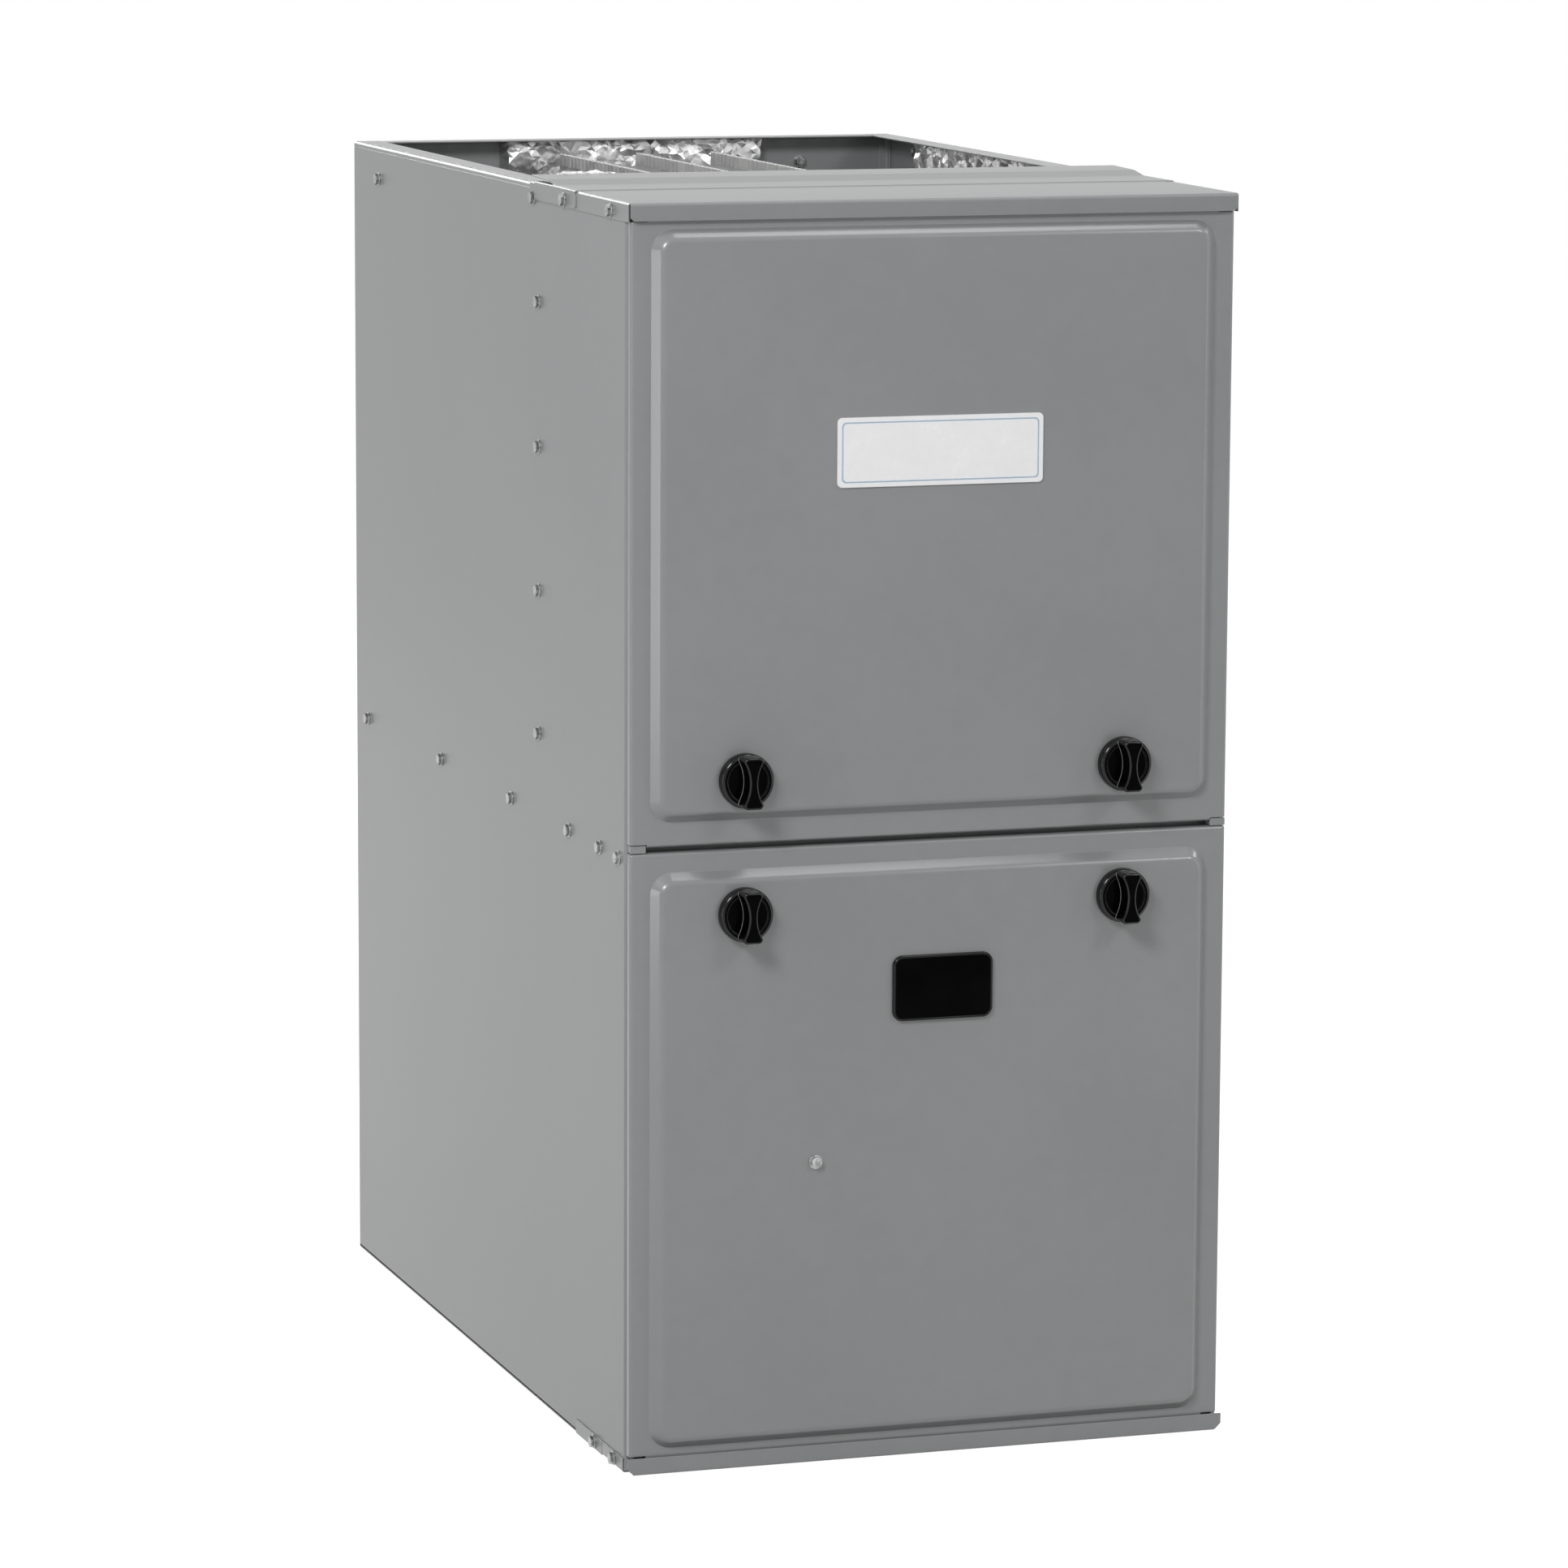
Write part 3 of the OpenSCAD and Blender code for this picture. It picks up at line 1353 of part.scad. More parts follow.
module lower_pad() color(foil) difference() {
    block(
        [-press_half + panel_slope + 2, press_half - panel_slope - 2],
        [face_back, face_back + pad_thick],
        [lower_press[0] + panel_slope + 2, window_rise(0)[0] - 12]
    );
    rod_y(door_screw_x, [face_back - 1, face_back + pad_thick + 1], door_screw_z, screw_r + 3);
}

module sight_bezel() color(black) difference() {
    union() {
        on_front(face_y)
            linear_extrude(height = 2)
                round_rect(window_span(0), window_rise(0), 6.5);
        on_front(face_y - 2 + e)
            linear_extrude(height = 1)
                round_rect(window_span(-1), window_rise(-1), 5.5);
        on_front(face_back + 4)
            linear_extrude(height = 4 + door_gauge + e)
                round_rect(window_span(-2.2), window_rise(-2.2), 4.8);
    }
    on_front(face_back + 5)
        linear_extrude(height = 12)
            round_rect(window_span(-6), window_rise(-6), 3);
    on_front(face_y - 0.6)
        linear_extrude(height = 4)
            round_rect(window_span(-4.5), window_rise(-4.5), 4);
}

module sight_lens() color([0.05, 0.05, 0.06])
    on_front(face_y - 0.6 + 1)
        linear_extrude(height = 1)
            round_rect(window_span(-6), window_rise(-6), 3);

module badge_plate() color([0.93, 0.93, 0.92])
    on_front(face_y)
        linear_extrude(height = badge_thick)
            round_rect(
                [1.3 - badge_wide / 2, 1.3 + badge_wide / 2],
                [badge_z - badge_high / 2, badge_z + badge_high / 2],
                3.5
            );

module door_screw() color(zinc)
    translate([door_screw_x, face_y, door_screw_z])
        rotate([0, 0, -90])
            hex_screw(0, 0, 0, 11);

// Quarter-turn knob: disc, waisted grip, shaft and latch bar in one moulding, drawn at its own centre
module knob(x, z) translate([x, 0, z]) {
    r = knob_dia / 2;
    grip_y = face_y - knob_disc;
    grip_high = knob_height - panel_rise - knob_disc;
    on_front(face_y - 0.3)
        rotate_extrude()
            polygon([[0, 0], [r, 0], [r, knob_disc - 3.3], [r - 3, knob_disc - 0.3], [0, knob_disc - 0.3]]);
    on_front(grip_y + e)
        linear_extrude(height = grip_high - 2 + e)
            grip_shape(0);
    on_front(grip_y - grip_high + 2 + e)
        linear_extrude(height = 2 + e)
            grip_shape(0.9);
    rod_y(0, [face_y - 1, latch_front + e], 0, knob_shaft_r);
    block(
        [-latch_wide / 2, latch_wide / 2],
        [latch_front, latch_front + latch_thick],
        [-latch_len / 2, latch_len / 2]
    );
    rod_y(0, [latch_front, latch_front + latch_thick + 1], 0, knob_shaft_r + 1.5);
}

// Waisted grip outline, narrowed by a distance
module grip_shape(step) difference() {
    low = -knob_dia / 2 - 4 + step;
    high = knob_dia / 2 - 3.6 - step;
    round_rect([-7.5 + step, 7.5 - step], [low, high], 3);
    for (s = [-1, 1])
        translate([s * (42 + 4.9 - step), (low + high) / 2])
            circle(r = 42);
}

module knob_upper_left() color(black) knob(-knob_x, upper_knob_z);

module knob_upper_right() color(black) knob(knob_x, upper_knob_z);

module knob_lower_left() color(black) knob(-knob_x, lower_knob_z);

module knob_lower_right() color(black) knob(knob_x, lower_knob_z);

casing_left();
casing_right();
casing_back();
top_plate();
base_sill();
bottom_panel();
blower_shelf();
latch_rail();
cell_panel();
side_screws();
cells();
coupling_box();
condensing_coil();
foil_back();
foil_sides();
burner_box();
burners();
manifold();
orifices();
gas_valve();
valve_switch();
igniter();
flame_sensor();
rollout_switches();
reset_button_left();
reset_button_right();
limit_switch();
collector_box();
inducer_housing();
inducer_motor();
inducer_rotor();
vent_coupling();
air_coupling();
pressure_switch();
pressure_hose();
condensate_trap();
blower_housing();
blower_wheel();
blower_motor();
motor_mount();
capacitor();
control_tray();
control_board();
board_parts();
transformer();
door_switch();
switch_plunger();
junction_box();
upper_door();
upper_pad();
lower_door();
lower_pad();
sight_bezel();
sight_lens();
badge_plate();
door_screw();
knob_upper_left();
knob_upper_right();
knob_lower_left();
knob_lower_right();
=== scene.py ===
# %% [markdown]
# # A forced air gas furnace
# The cabinet is folded sheet steel under satin enamel, with two pressed doors, black quarter-turn
# knobs, and a dark sight window. Through the open top one sees crumpled foil and the rims of the
# heat exchanger cells. The CAD solids give every size and place. This script gives each visible
# piece its bends, creases and finish, and stays in the same frame, in metres.

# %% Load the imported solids
import json
import math
import random

import bmesh
import bpy
from mathutils import Matrix, Vector, noise


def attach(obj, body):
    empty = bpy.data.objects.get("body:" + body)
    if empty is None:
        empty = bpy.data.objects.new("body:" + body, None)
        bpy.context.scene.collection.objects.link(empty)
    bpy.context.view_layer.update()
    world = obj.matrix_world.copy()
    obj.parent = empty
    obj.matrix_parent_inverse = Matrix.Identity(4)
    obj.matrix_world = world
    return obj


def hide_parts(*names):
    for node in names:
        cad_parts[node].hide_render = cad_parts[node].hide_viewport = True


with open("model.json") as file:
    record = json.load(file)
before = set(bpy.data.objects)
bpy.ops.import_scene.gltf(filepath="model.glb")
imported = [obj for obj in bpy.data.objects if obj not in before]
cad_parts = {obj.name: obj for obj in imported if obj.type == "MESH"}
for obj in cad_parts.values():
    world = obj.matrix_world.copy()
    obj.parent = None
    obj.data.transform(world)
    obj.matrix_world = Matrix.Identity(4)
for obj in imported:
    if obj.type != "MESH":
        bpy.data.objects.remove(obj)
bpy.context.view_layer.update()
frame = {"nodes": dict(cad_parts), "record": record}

MM = 0.001

# %% [markdown]
# ## Sums on shader sockets
# A finish is mostly arithmetic on masks. Blender writes that as Math nodes, which are slow to read.
# A small class wraps one socket, so that `1 - mask * 0.3` adds the nodes itself.

# %% A socket that can be added and multiplied
class Wire:
    """One output socket of a finish. Sums with it add Math nodes."""

    def __init__(self, finish, socket):
        self.finish = finish
        self.socket = socket

    def sum(self, operation, first, second):
        return self.finish.node("ShaderNodeMath", {"operation": operation}, {0: first, 1: second})

    def __add__(self, other):
        return self.sum("ADD", self, other)

    def __sub__(self, other):
        return self.sum("SUBTRACT", self, other)

    def __rsub__(self, other):
        return self.sum("SUBTRACT", other, self)

    def __mul__(self, other):
        return self.sum("MULTIPLY", self, other)

    __radd__ = __add__
    __rmul__ = __mul__


# %% [markdown]
# ## One material under construction
# Every node goes through `node`: its type, then its settings, then what its sockets hold.
# The helpers below it name the few patterns that the finishes share, so that a finish reads
# like a recipe: where, how coarse, how strong.

# %% The finish class
class Graph:
    """A node tree, and the one way in which nodes are added to it."""

    def __init__(self, tree):
        self.tree = tree

    def node(self, kind, settings=None, inputs=None, output=None):
        """Adds a node: its type, its settings, then the values or links of its sockets."""
        made = self.tree.nodes.new(kind)
        for key, value in (settings or {}).items():
            setattr(made, key, value)
        for key, value in (inputs or {}).items():
            socket = made.inputs[key] if isinstance(key, int) else self.live(made.inputs, key)
            self.plug(socket, value)
        return Wire(self, self.live(made.outputs, output))

    @staticmethod
    def live(sockets, name):
        """The socket in use that has this name, or the first one in use."""
        return next(s for s in sockets if s.enabled and name in (None, s.name))

    def plug(self, socket, value):
        """Links a wire to a socket, or writes a plain value there."""
        if isinstance(value, Wire):
            self.tree.links.new(value.socket, socket)
        else:
            socket.default_value = value

    def seen_directly(self):
        """1 for rays that show the background: straight, in a mirror or through glass."""
        seen = None
        for ray in ("Is Camera Ray", "Is Glossy Ray", "Is Transmission Ray"):
            kind = self.node("ShaderNodeLightPath", output=ray)
            seen = kind if seen is None else seen.sum("MAXIMUM", seen, kind)
        return seen


class Finish(Graph):
    """A material with one Principled shader."""

    made = {}

    def __init__(self, name, **constants):
        self.material = bpy.data.materials.new(name)
        self.material.use_nodes = True
        super().__init__(self.material.node_tree)
        self.shader = self.tree.nodes["Principled BSDF"]
        for words, value in constants.items():
            self.socket_of(words).default_value = value
        self.place = self.node("ShaderNodeTexCoord", output="Object")
        Finish.made[name] = self

    def socket_of(self, words):
        """The shader's socket for words such as base_color."""
        return self.shader.inputs[words.replace("_", " ").title().replace("Ior", "IOR")]

    def stretched(self, x, y, z):
        """The place, scaled along each axis, for grain that runs one way."""
        return self.node("ShaderNodeMapping", None, {"Vector": self.place, "Scale": (x, y, z)})

    def noise(self, size, detail=2.0, place=None):
        """Soft noise from 0 to 1 whose blotches are about `size` metres across."""
        sockets = {"Vector": place or self.place, "Scale": 1 / size, "Detail": detail}
        return self.node("ShaderNodeTexNoise", None, sockets, "Fac")

    def cells(self, size, output, feature="F1", place=None):
        """Voronoi cells about `size` metres across."""
        sockets = {"Vector": place or self.place, "Scale": 1 / size}
        return self.node("ShaderNodeTexVoronoi", {"feature": feature}, sockets, output)

    def band(self, value, low, high, to_low=0.0, to_high=1.0):
        """The value's stretch from low to high, spread smoothly over to_low to to_high."""
        smooth = {"interpolation_type": "SMOOTHSTEP"}
        sockets = {"Value": value, "From Min": low, "From Max": high}
        sockets.update({"To Min": to_low, "To Max": to_high})
        return self.node("ShaderNodeMapRange", smooth, sockets)

    def blend(self, mask, first, second):
        """One colour where the mask is 0 and another where it is 1."""
        sockets = {"Factor": mask, "A": first, "B": second}
        return self.node("ShaderNodeMix", {"data_type": "RGBA"}, sockets)

    def part_of(self, place, axis):
        """One of a vector's three numbers."""
        return self.node("ShaderNodeSeparateXYZ", None, {"Vector": place}, axis)

    def soft_edges(self, radius):
        """A normal that rounds the solid's sharp edges in the light."""
        return self.node("ShaderNodeBevel", {"samples": 4}, {"Radius": radius})

    def edge_wear_and_highlight(self, radius):
        """1 on sharp edges and 0 on flat faces: the mask for edges painted lighter, as a painted
        highlight and, on metal, a rubbed edge.
        """
        flat = self.node("ShaderNodeNewGeometry", output="Normal")
        rounded = self.soft_edges(radius)
        sameness = self.node(
            "ShaderNodeVectorMath", {"operation": "DOT_PRODUCT"}, {0: flat, 1: rounded}, "Value"
        )
        return self.band(1 - sameness, 0.02, 0.2)

    def bump(self, height, distance, normal=None, strength=1.0):
        """A normal tilted as if the surface rose by up to `distance` metres."""
        sockets = {"Height": height, "Distance": distance, "Strength": strength}
        if normal is not None:
            sockets["Normal"] = normal
        return self.node("ShaderNodeBump", None, sockets)

    def finish(self, **wires):
        """Links each wire to the shader's socket of that name."""
        for words, wire in wires.items():
            self.plug(self.socket_of(words), wire)
        return self.material


def tone(level, warmth=0.0):
    """A grey from its brightness on screen, 0 to 255. Warmth adds red, and below 0 adds blue."""
    screen = level / 255
    linear = screen / 12.92 if screen <= 0.04045 else ((screen + 0.055) / 1.055) ** 2.4
    return (linear * (1 + warmth), linear, linear * (1 - warmth), 1.0)


print("mid grey, written 128:", [round(part, 3) for part in tone(128)])

# %% [markdown]
# ## Satin enamel
# The cabinet, its sill and its doors are pressed from coated steel, sprayed a mid grey. Up close
# the coat has a fine orange peel and very slight clouds of tone, and its edges and bends are
# painted a touch lighter, a painted highlight. It could be one glossy colour, but real enamel has
# a broad satin sheen, so the roughness sits near 0.3 and only breathes a little. The doors wear a
# thin glossier skin as well, which draws the fine lines of light along their pressed slopes.

# %% Enamel for the cabinet, the top plate and the doors
def enamel(name, light, dark, sheen, polish=0.0):
    """Sprayed satin coat between two close greys; polish adds a glossier skin on top."""
    coat = Finish(name, specular_ior_level=0.5, coat_weight=polish, coat_roughness=0.13)
    clouds = coat.noise(0.16, detail=3.0)
    fine = coat.noise(0.012, detail=2.0)
    peel = coat.noise(0.0016, detail=1.0)
    # Edges and bends are painted lighter, toward tone 182: a painted highlight.
    edge = coat.edge_wear_and_highlight(0.0008)
    body = coat.blend(coat.band(clouds * 0.7 + fine * 0.3, 0.3, 0.7), dark, light)
    shade = coat.blend(edge * 0.55, body, tone(182, -0.01))
    rough = sheen + (clouds - 0.5) * 0.06 + (fine - 0.5) * 0.05
    normal = coat.bump(peel, 0.00003, coat.soft_edges(0.0006), 0.35)
    return coat.finish(base_color=shade, roughness=rough, normal=normal)


enamel("enamel", tone(143, -0.016), tone(138, -0.018), 0.3)
# The top plate's copy is painted darker: painted shade that takes back the extra light it gets from
# the lamps above.
enamel("enamel_top", tone(139, -0.016), tone(134, -0.018), 0.32)
# The doors' copy is painted a little darker: painted shade that takes back the light their glossier
# skin adds.
enamel("enamel_door_shaded", tone(140, -0.016), tone(135, -0.018), 0.3, polish=0.4)
print("finishes:", sorted(Finish.made))

# %% [markdown]
# ## Bare and plated steel
# Inside, the sheet is hot-dip galvanised: its zinc freezes in flat crystals a centimetre across,
# each with its own brightness. Voronoi cells give those crystals, and every cell's random colour
# sets both tone and roughness. Screws are zinc plated and brighter. The heat exchanger is
# aluminised steel, duller, with crimp marks along its rims.

# %% Galvanised sheet, plated screws and cast or spun metal
SCRATCH = 0.0004


def plated(name, light, dark, crystal, rough_low, rough_high, rub_and_highlight=226, bare=1.0):
    """Crystalline or brushed metal between two tones; below 1, bare lets a dull oxide show."""
    metal = Finish(name, metallic=bare)
    crystals = metal.part_of(metal.cells(crystal, "Color"), "X")
    haze = metal.noise(crystal * 6, detail=3.0)
    scratch = metal.noise(SCRATCH, detail=1.0, place=metal.stretched(1.0, 1.0, 0.08))
    mask = metal.band(crystals * 0.55 + haze * 0.45, 0.2, 0.8)
    edge = metal.edge_wear_and_highlight(0.0007)
    body = metal.blend(mask, dark, light)
    # Edges are painted toward a light tone: partly a rubbed edge, partly a painted highlight.
    shade = metal.blend(edge * 0.5, body, tone(rub_and_highlight))
    rough = metal.band(crystals * 0.5 + scratch * 0.5, 0.2, 0.8, rough_low, rough_high)
    normal = metal.bump(crystals * 0.4 + scratch * 0.6, 0.00004, metal.soft_edges(0.0005), 0.4)
    return metal.finish(base_color=shade, roughness=rough, normal=normal)


# Name, light and dark tone, crystal size in metres, lowest and highest roughness
plated("galvanised", tone(205, -0.01), tone(176, -0.012), 0.011, 0.28, 0.5)
plated("zinc", tone(176, 0.005), tone(132, -0.008), 0.0022, 0.2, 0.36, rub_and_highlight=200)
plated("cell_steel", tone(196, 0.004), tone(180, 0.0), 0.02, 0.4, 0.52, bare=0.45)
plated("coil_steel", tone(212), tone(186), 0.006, 0.3, 0.45)
plated("burner_steel", tone(196, 0.03), tone(160, 0.05), 0.008, 0.35, 0.55)
plated("valve_metal", tone(198), tone(176, -0.01), 0.0015, 0.38, 0.55)
plated("rotor_metal", tone(204), tone(178), 0.012, 0.3, 0.46)
plated("capacitor_can", tone(214), tone(196), 0.0012, 0.24, 0.36)
plated("transformer_steel", tone(120, 0.03), tone(84, 0.05), 0.0016, 0.45, 0.65)
plated("brass", (0.66, 0.44, 0.16, 1.0), (0.5, 0.31, 0.1, 1.0), 0.002, 0.22, 0.4)
print("finishes:", len(Finish.made))

# %% [markdown]
# ## Crumpled foil
# The insulation wears aluminium foil, creased by hand. The large folds are in the mesh. Here come
# the small ones: bent Voronoi edges make sharp creases a few millimetres apart, on a bright and
# almost mirror-like metal.

# %% Foil
BEND_CREASES = (0.02, 0.02, 0.02)


def foil_finish(name):
    """Bright metal whose creases come from bent cell edges."""
    foil = Finish(name, metallic=1.0)
    warp = foil.noise(0.03, detail=2.0)
    push = foil.node("ShaderNodeCombineXYZ", None, {"X": warp, "Y": warp, "Z": warp})
    sockets = {0: push, 1: BEND_CREASES, 2: foil.place}
    moved = foil.node("ShaderNodeVectorMath", {"operation": "MULTIPLY_ADD"}, sockets)
    creases = foil.cells(0.009, "Distance", "DISTANCE_TO_EDGE", moved)
    small = foil.noise(0.004, detail=3.0)
    clouds = foil.noise(0.05, detail=2.0)
    shade = foil.blend(foil.band(clouds, 0.3, 0.7), tone(192), tone(222))
    height = foil.band(creases, 0.0, 0.35) * 0.7 + small * 0.3
    rough = foil.band(small * 0.5 + clouds * 0.5, 0.3, 0.7, 0.26, 0.42)
    normal = foil.bump(height, 0.0008, None, 0.35)
    return foil.finish(base_color=shade, roughness=rough, normal=normal)


print("made:", foil_finish("foil").name)

# %% [markdown]
# ## Plastics, rubber and paint
# The knobs and the window are polished black mouldings: near-black colour, low roughness and a
# faint haze of finger marks. The ducts, trap and switches are a duller filled plastic with a fine
# pitted texture, and rubber is duller still. One recipe covers them, from gloss to matt.

# %% Moulded and painted finishes
MARKS = 0.02


def moulded(name, light, dark, rough_low, rough_high, pit, depth, edge_highlight_tone, shine=0.5,
            radius=0.0006, polish=0.0):
    """Plastic, rubber or paint: slight mottling, pits, and edges painted lighter as a painted
    highlight.
    With polish, whatever does not face straight forward, such as a rolled rim, has a glossy coat."""
    skin = Finish(name, specular_ior_level=shine)
    haze = skin.noise(MARKS, detail=3.0)
    pits = skin.noise(pit, detail=2.0)
    # Edges are painted toward a light tone: a painted highlight.
    edge = skin.edge_wear_and_highlight(radius)
    body = skin.blend(skin.band(haze * 0.6 + pits * 0.4, 0.3, 0.7), dark, light)
    shade = skin.blend(edge * 0.5, body, edge_highlight_tone)
    rough = skin.band(haze * 0.7 + pits * 0.3, 0.3, 0.7, rough_low, rough_high)
    normal = skin.bump(pits, depth, skin.soft_edges(radius), 0.5)
    if polish:
        skin.socket_of("coat_roughness").default_value = 0.08
        forward = skin.part_of(skin.node("ShaderNodeTexCoord", output="Normal"), "Y") * -1
        skin.finish(coat_weight=(1 - skin.band(forward, 0.95, 0.997)) * polish)
    return skin.finish(base_color=shade, roughness=rough, normal=normal)


# Name, light and dark tone, lowest and highest roughness, pit size and depth, tone of the painted
# edge highlight
moulded("knob_black", tone(5), tone(3), 0.1, 0.18, 0.003, 0.00001, tone(210), shine=0.02,
        radius=0.0007, polish=0.6)
moulded("lens", tone(6), tone(3), 0.05, 0.08, 0.02, 0.000005, tone(90), shine=0.02, radius=0.0005)
moulded("dark_plastic", tone(44), tone(34), 0.42, 0.58, 0.0009, 0.00006, tone(66))
moulded("rubber", tone(34), tone(26), 0.6, 0.78, 0.0012, 0.00008, tone(52))
moulded("motor_paint", tone(62, -0.03), tone(50, -0.02), 0.3, 0.44, 0.0014, 0.00004, tone(96))
moulded("pipe_black", tone(42), tone(30, 0.05), 0.38, 0.55, 0.0012, 0.00008, tone(88, 0.05))
moulded("cream_plastic", tone(222, 0.035), tone(210, 0.045), 0.34, 0.46, 0.0012, 0.00003,
        tone(236, 0.02))
moulded("red_plastic", (0.62, 0.02, 0.015, 1), (0.5, 0.012, 0.01, 1), 0.25, 0.38, 0.001, 0.00003,
        (0.75, 0.1, 0.08, 1))
moulded("ceramic", tone(232, 0.03), tone(214, 0.05), 0.55, 0.72, 0.0007, 0.00006, tone(244, 0.02))
moulded("badge", tone(251), tone(247), 0.2, 0.28, 0.004, 0.00001, tone(253))
moulded("badge_line", (0.42, 0.60, 0.78, 1), (0.38, 0.56, 0.75, 1), 0.3, 0.38, 0.002, 0.00001,
        (0.5, 0.68, 0.84, 1))
print("finishes:", len(Finish.made))

# %% [markdown]
# ## The control board
# Solder mask over copper: dark green, with paler tracks that run square to the edges. Two
# stretched noises, cut to narrow bands, draw tracks along X and along Z.

# %% Board with faint tracks
def board_finish(name):
    """Green mask with paler copper tracks under it."""
    board = Finish(name, specular_ior_level=0.5)
    across = board.noise(0.004, 1.0, place=board.stretched(0.05, 1.0, 1.0))
    upward = board.noise(0.004, 1.0, place=board.stretched(1.0, 1.0, 0.05))
    tracks = board.band(across, 0.56, 0.58) * 0.5 + board.band(upward, 0.58, 0.6) * 0.5
    shade = board.blend(tracks, (0.012, 0.075, 0.03, 1), (0.03, 0.16, 0.07, 1))
    rough = 0.34 - tracks * 0.08
    return board.finish(base_color=shade, roughness=rough, normal=board.bump(tracks, 0.00004))


print("made:", board_finish("board").name)

# %% [markdown]
# ## Finishes on the solids
# Each solid of the furnace already has a material slot by name, and each slot has its finish
# above. A solid could be recoloured by hand, but going through the record's table misses none.

# %% Give every solid its finish
slot_of = {p["node"]: p["material_slot"] for p in frame["record"]["subparts"]}
for node_name, solid in frame["nodes"].items():
    finish = Finish.made[slot_of[node_name]].material
    if not solid.material_slots:
        solid.data.materials.append(finish)
    for place in solid.material_slots:
        place.material = finish
print("finished solids:", len(slot_of), "in", len(set(slot_of.values())), "finishes")

# %% [markdown]
# ## From points to pieces
# Every new piece is drawn in millimetres at its final place, so its object stays at the origin
# and its texture lines up with the solids. `piece` turns a bmesh into an object, marks sharp
# edges by angle, adds the finish, ties it to its body and hides the solid it stands for.

# %% Helpers that make objects
def fresh():
    """An empty mesh to add shapes to."""
    return bmesh.new()


def data_of(mesh, name):
    """Mesh data made from a bmesh, which is freed."""
    data = bpy.data.meshes.new(name)
    mesh.to_mesh(data)
    mesh.free()
    return data


def in_scene(name, data):
    """A new object, linked to the scene."""
    thing = bpy.data.objects.new(name, data)
    bpy.context.scene.collection.objects.link(thing)
    return thing


def piece(mesh, name, body, slot, replaces=(), sharp=35.0, finish=None, weld=0.0005):
    """An object from a bmesh in millimetres."""
    if weld:
        bmesh.ops.remove_doubles(mesh, verts=mesh.verts, dist=weld)
    bmesh.ops.recalc_face_normals(mesh, faces=mesh.faces)
    bmesh.ops.scale(mesh, vec=(MM, MM, MM), verts=mesh.verts)
    limit = math.radians(sharp)
    for face in mesh.faces:
        face.smooth = True
    for edge in mesh.edges:
        edge.smooth = len(edge.link_faces) == 2 and edge.calc_face_angle(0.0) < limit
    data = data_of(mesh, name)
    thing = in_scene(name, data)
    data.materials.append(Finish.made[finish or slot].material)
    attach(thing, body)
    if replaces:
        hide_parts(*replaces)
    print(name, "faces:", len(data.polygons))
    return thing


def box_into(mesh, x, y, z):
    """Adds a closed block between limits and returns its points."""
    middle = [(a + b) / 2 for a, b in (x, y, z)]
    size = [b - a for a, b in (x, y, z)]
    place = Matrix.Translation(middle) @ Matrix.Diagonal((*size, 1.0))
    return bmesh.ops.create_cube(mesh, size=1.0, matrix=place)["verts"]


def rod_into(mesh, middle, radius, length, axis, sides):
    """Adds a closed cylinder, centred, along X, Y or Z."""
    turn = {"X": Matrix.Rotation(math.pi / 2, 4, "Y"), "Y": Matrix.Rotation(math.pi / 2, 4, "X")}
    place = Matrix.Translation(middle) @ turn.get(axis, Matrix.Identity(4))
    bmesh.ops.create_cone(mesh, cap_ends=True, segments=sides, radius1=radius, radius2=radius,
                          depth=length, matrix=place)


def cut(mesh, cutter):
    """Subtracts one bmesh from another with an exact boolean, and returns the result."""
    shapes = []
    for source in (mesh, cutter):
        bmesh.ops.recalc_face_normals(source, faces=source.faces)
        shapes.append(in_scene("shape", data_of(source, "shape")))
    tool = shapes[0].modifiers.new("cut", "BOOLEAN")
    tool.object = shapes[1]
    tool.operation = "DIFFERENCE"
    tool.solver = "EXACT"
    tool.use_self = True
    result = fresh()
    result.from_object(shapes[0], bpy.context.evaluated_depsgraph_get())
    for shape in shapes:
        data = shape.data
        bpy.data.objects.remove(shape)
        bpy.data.meshes.remove(data)
    return result


def join(mesh, other):
    """Moves one bmesh's faces into another."""
    data = data_of(other, "join")
    mesh.from_mesh(data)
    bpy.data.meshes.remove(data)
    return mesh


# %% [markdown]
# ## Folded sheet
# A press brake folds a flat sheet along straight lines, and each fold keeps a small radius. So a
# folded piece is a line of corners, each rounded, given the sheet's thickness and drawn out along
# the fold. The rounded folds are what catch the light along the cabinet's edges.

# %% Fold a line of corners and draw it out
BEND_STEPS = 6


def folded_line(corners, side, radius, gauge):
    """Points and inward normals along the face of a folded sheet."""
    corners = [Vector(c) for c in corners]
    ways = [(b - a).normalized() for a, b in zip(corners, corners[1:])]
    normals = [Vector((-w.y, w.x)) * side for w in ways]
    line = [(corners[0], normals[0])]
    for i in range(1, len(corners) - 1):
        before, after = ways[i - 1], ways[i]
        turn = math.copysign(1.0, before.x * after.y - before.y * after.x)
        angle = before.angle(after)
        bend = radius if turn * side > 0 else max(radius - gauge, 0.05)
        start = corners[i] - before * bend * math.tan(angle / 2)
        centre = start + Vector((-before.y, before.x)) * turn * bend
        for step in range(BEND_STEPS + 1):
            swing = Matrix.Rotation(turn * angle * step / BEND_STEPS, 2)
            line.append((centre + swing @ (start - centre), swing @ normals[i - 1]))
    line.append((corners[-1], normals[-1]))
    return line


DRAW = {
    "X": lambda u, v, w: (w, u, v),
    "Y": lambda u, v, w: (u, w, v),
    "Z": lambda u, v, w: (u, v, w),
}


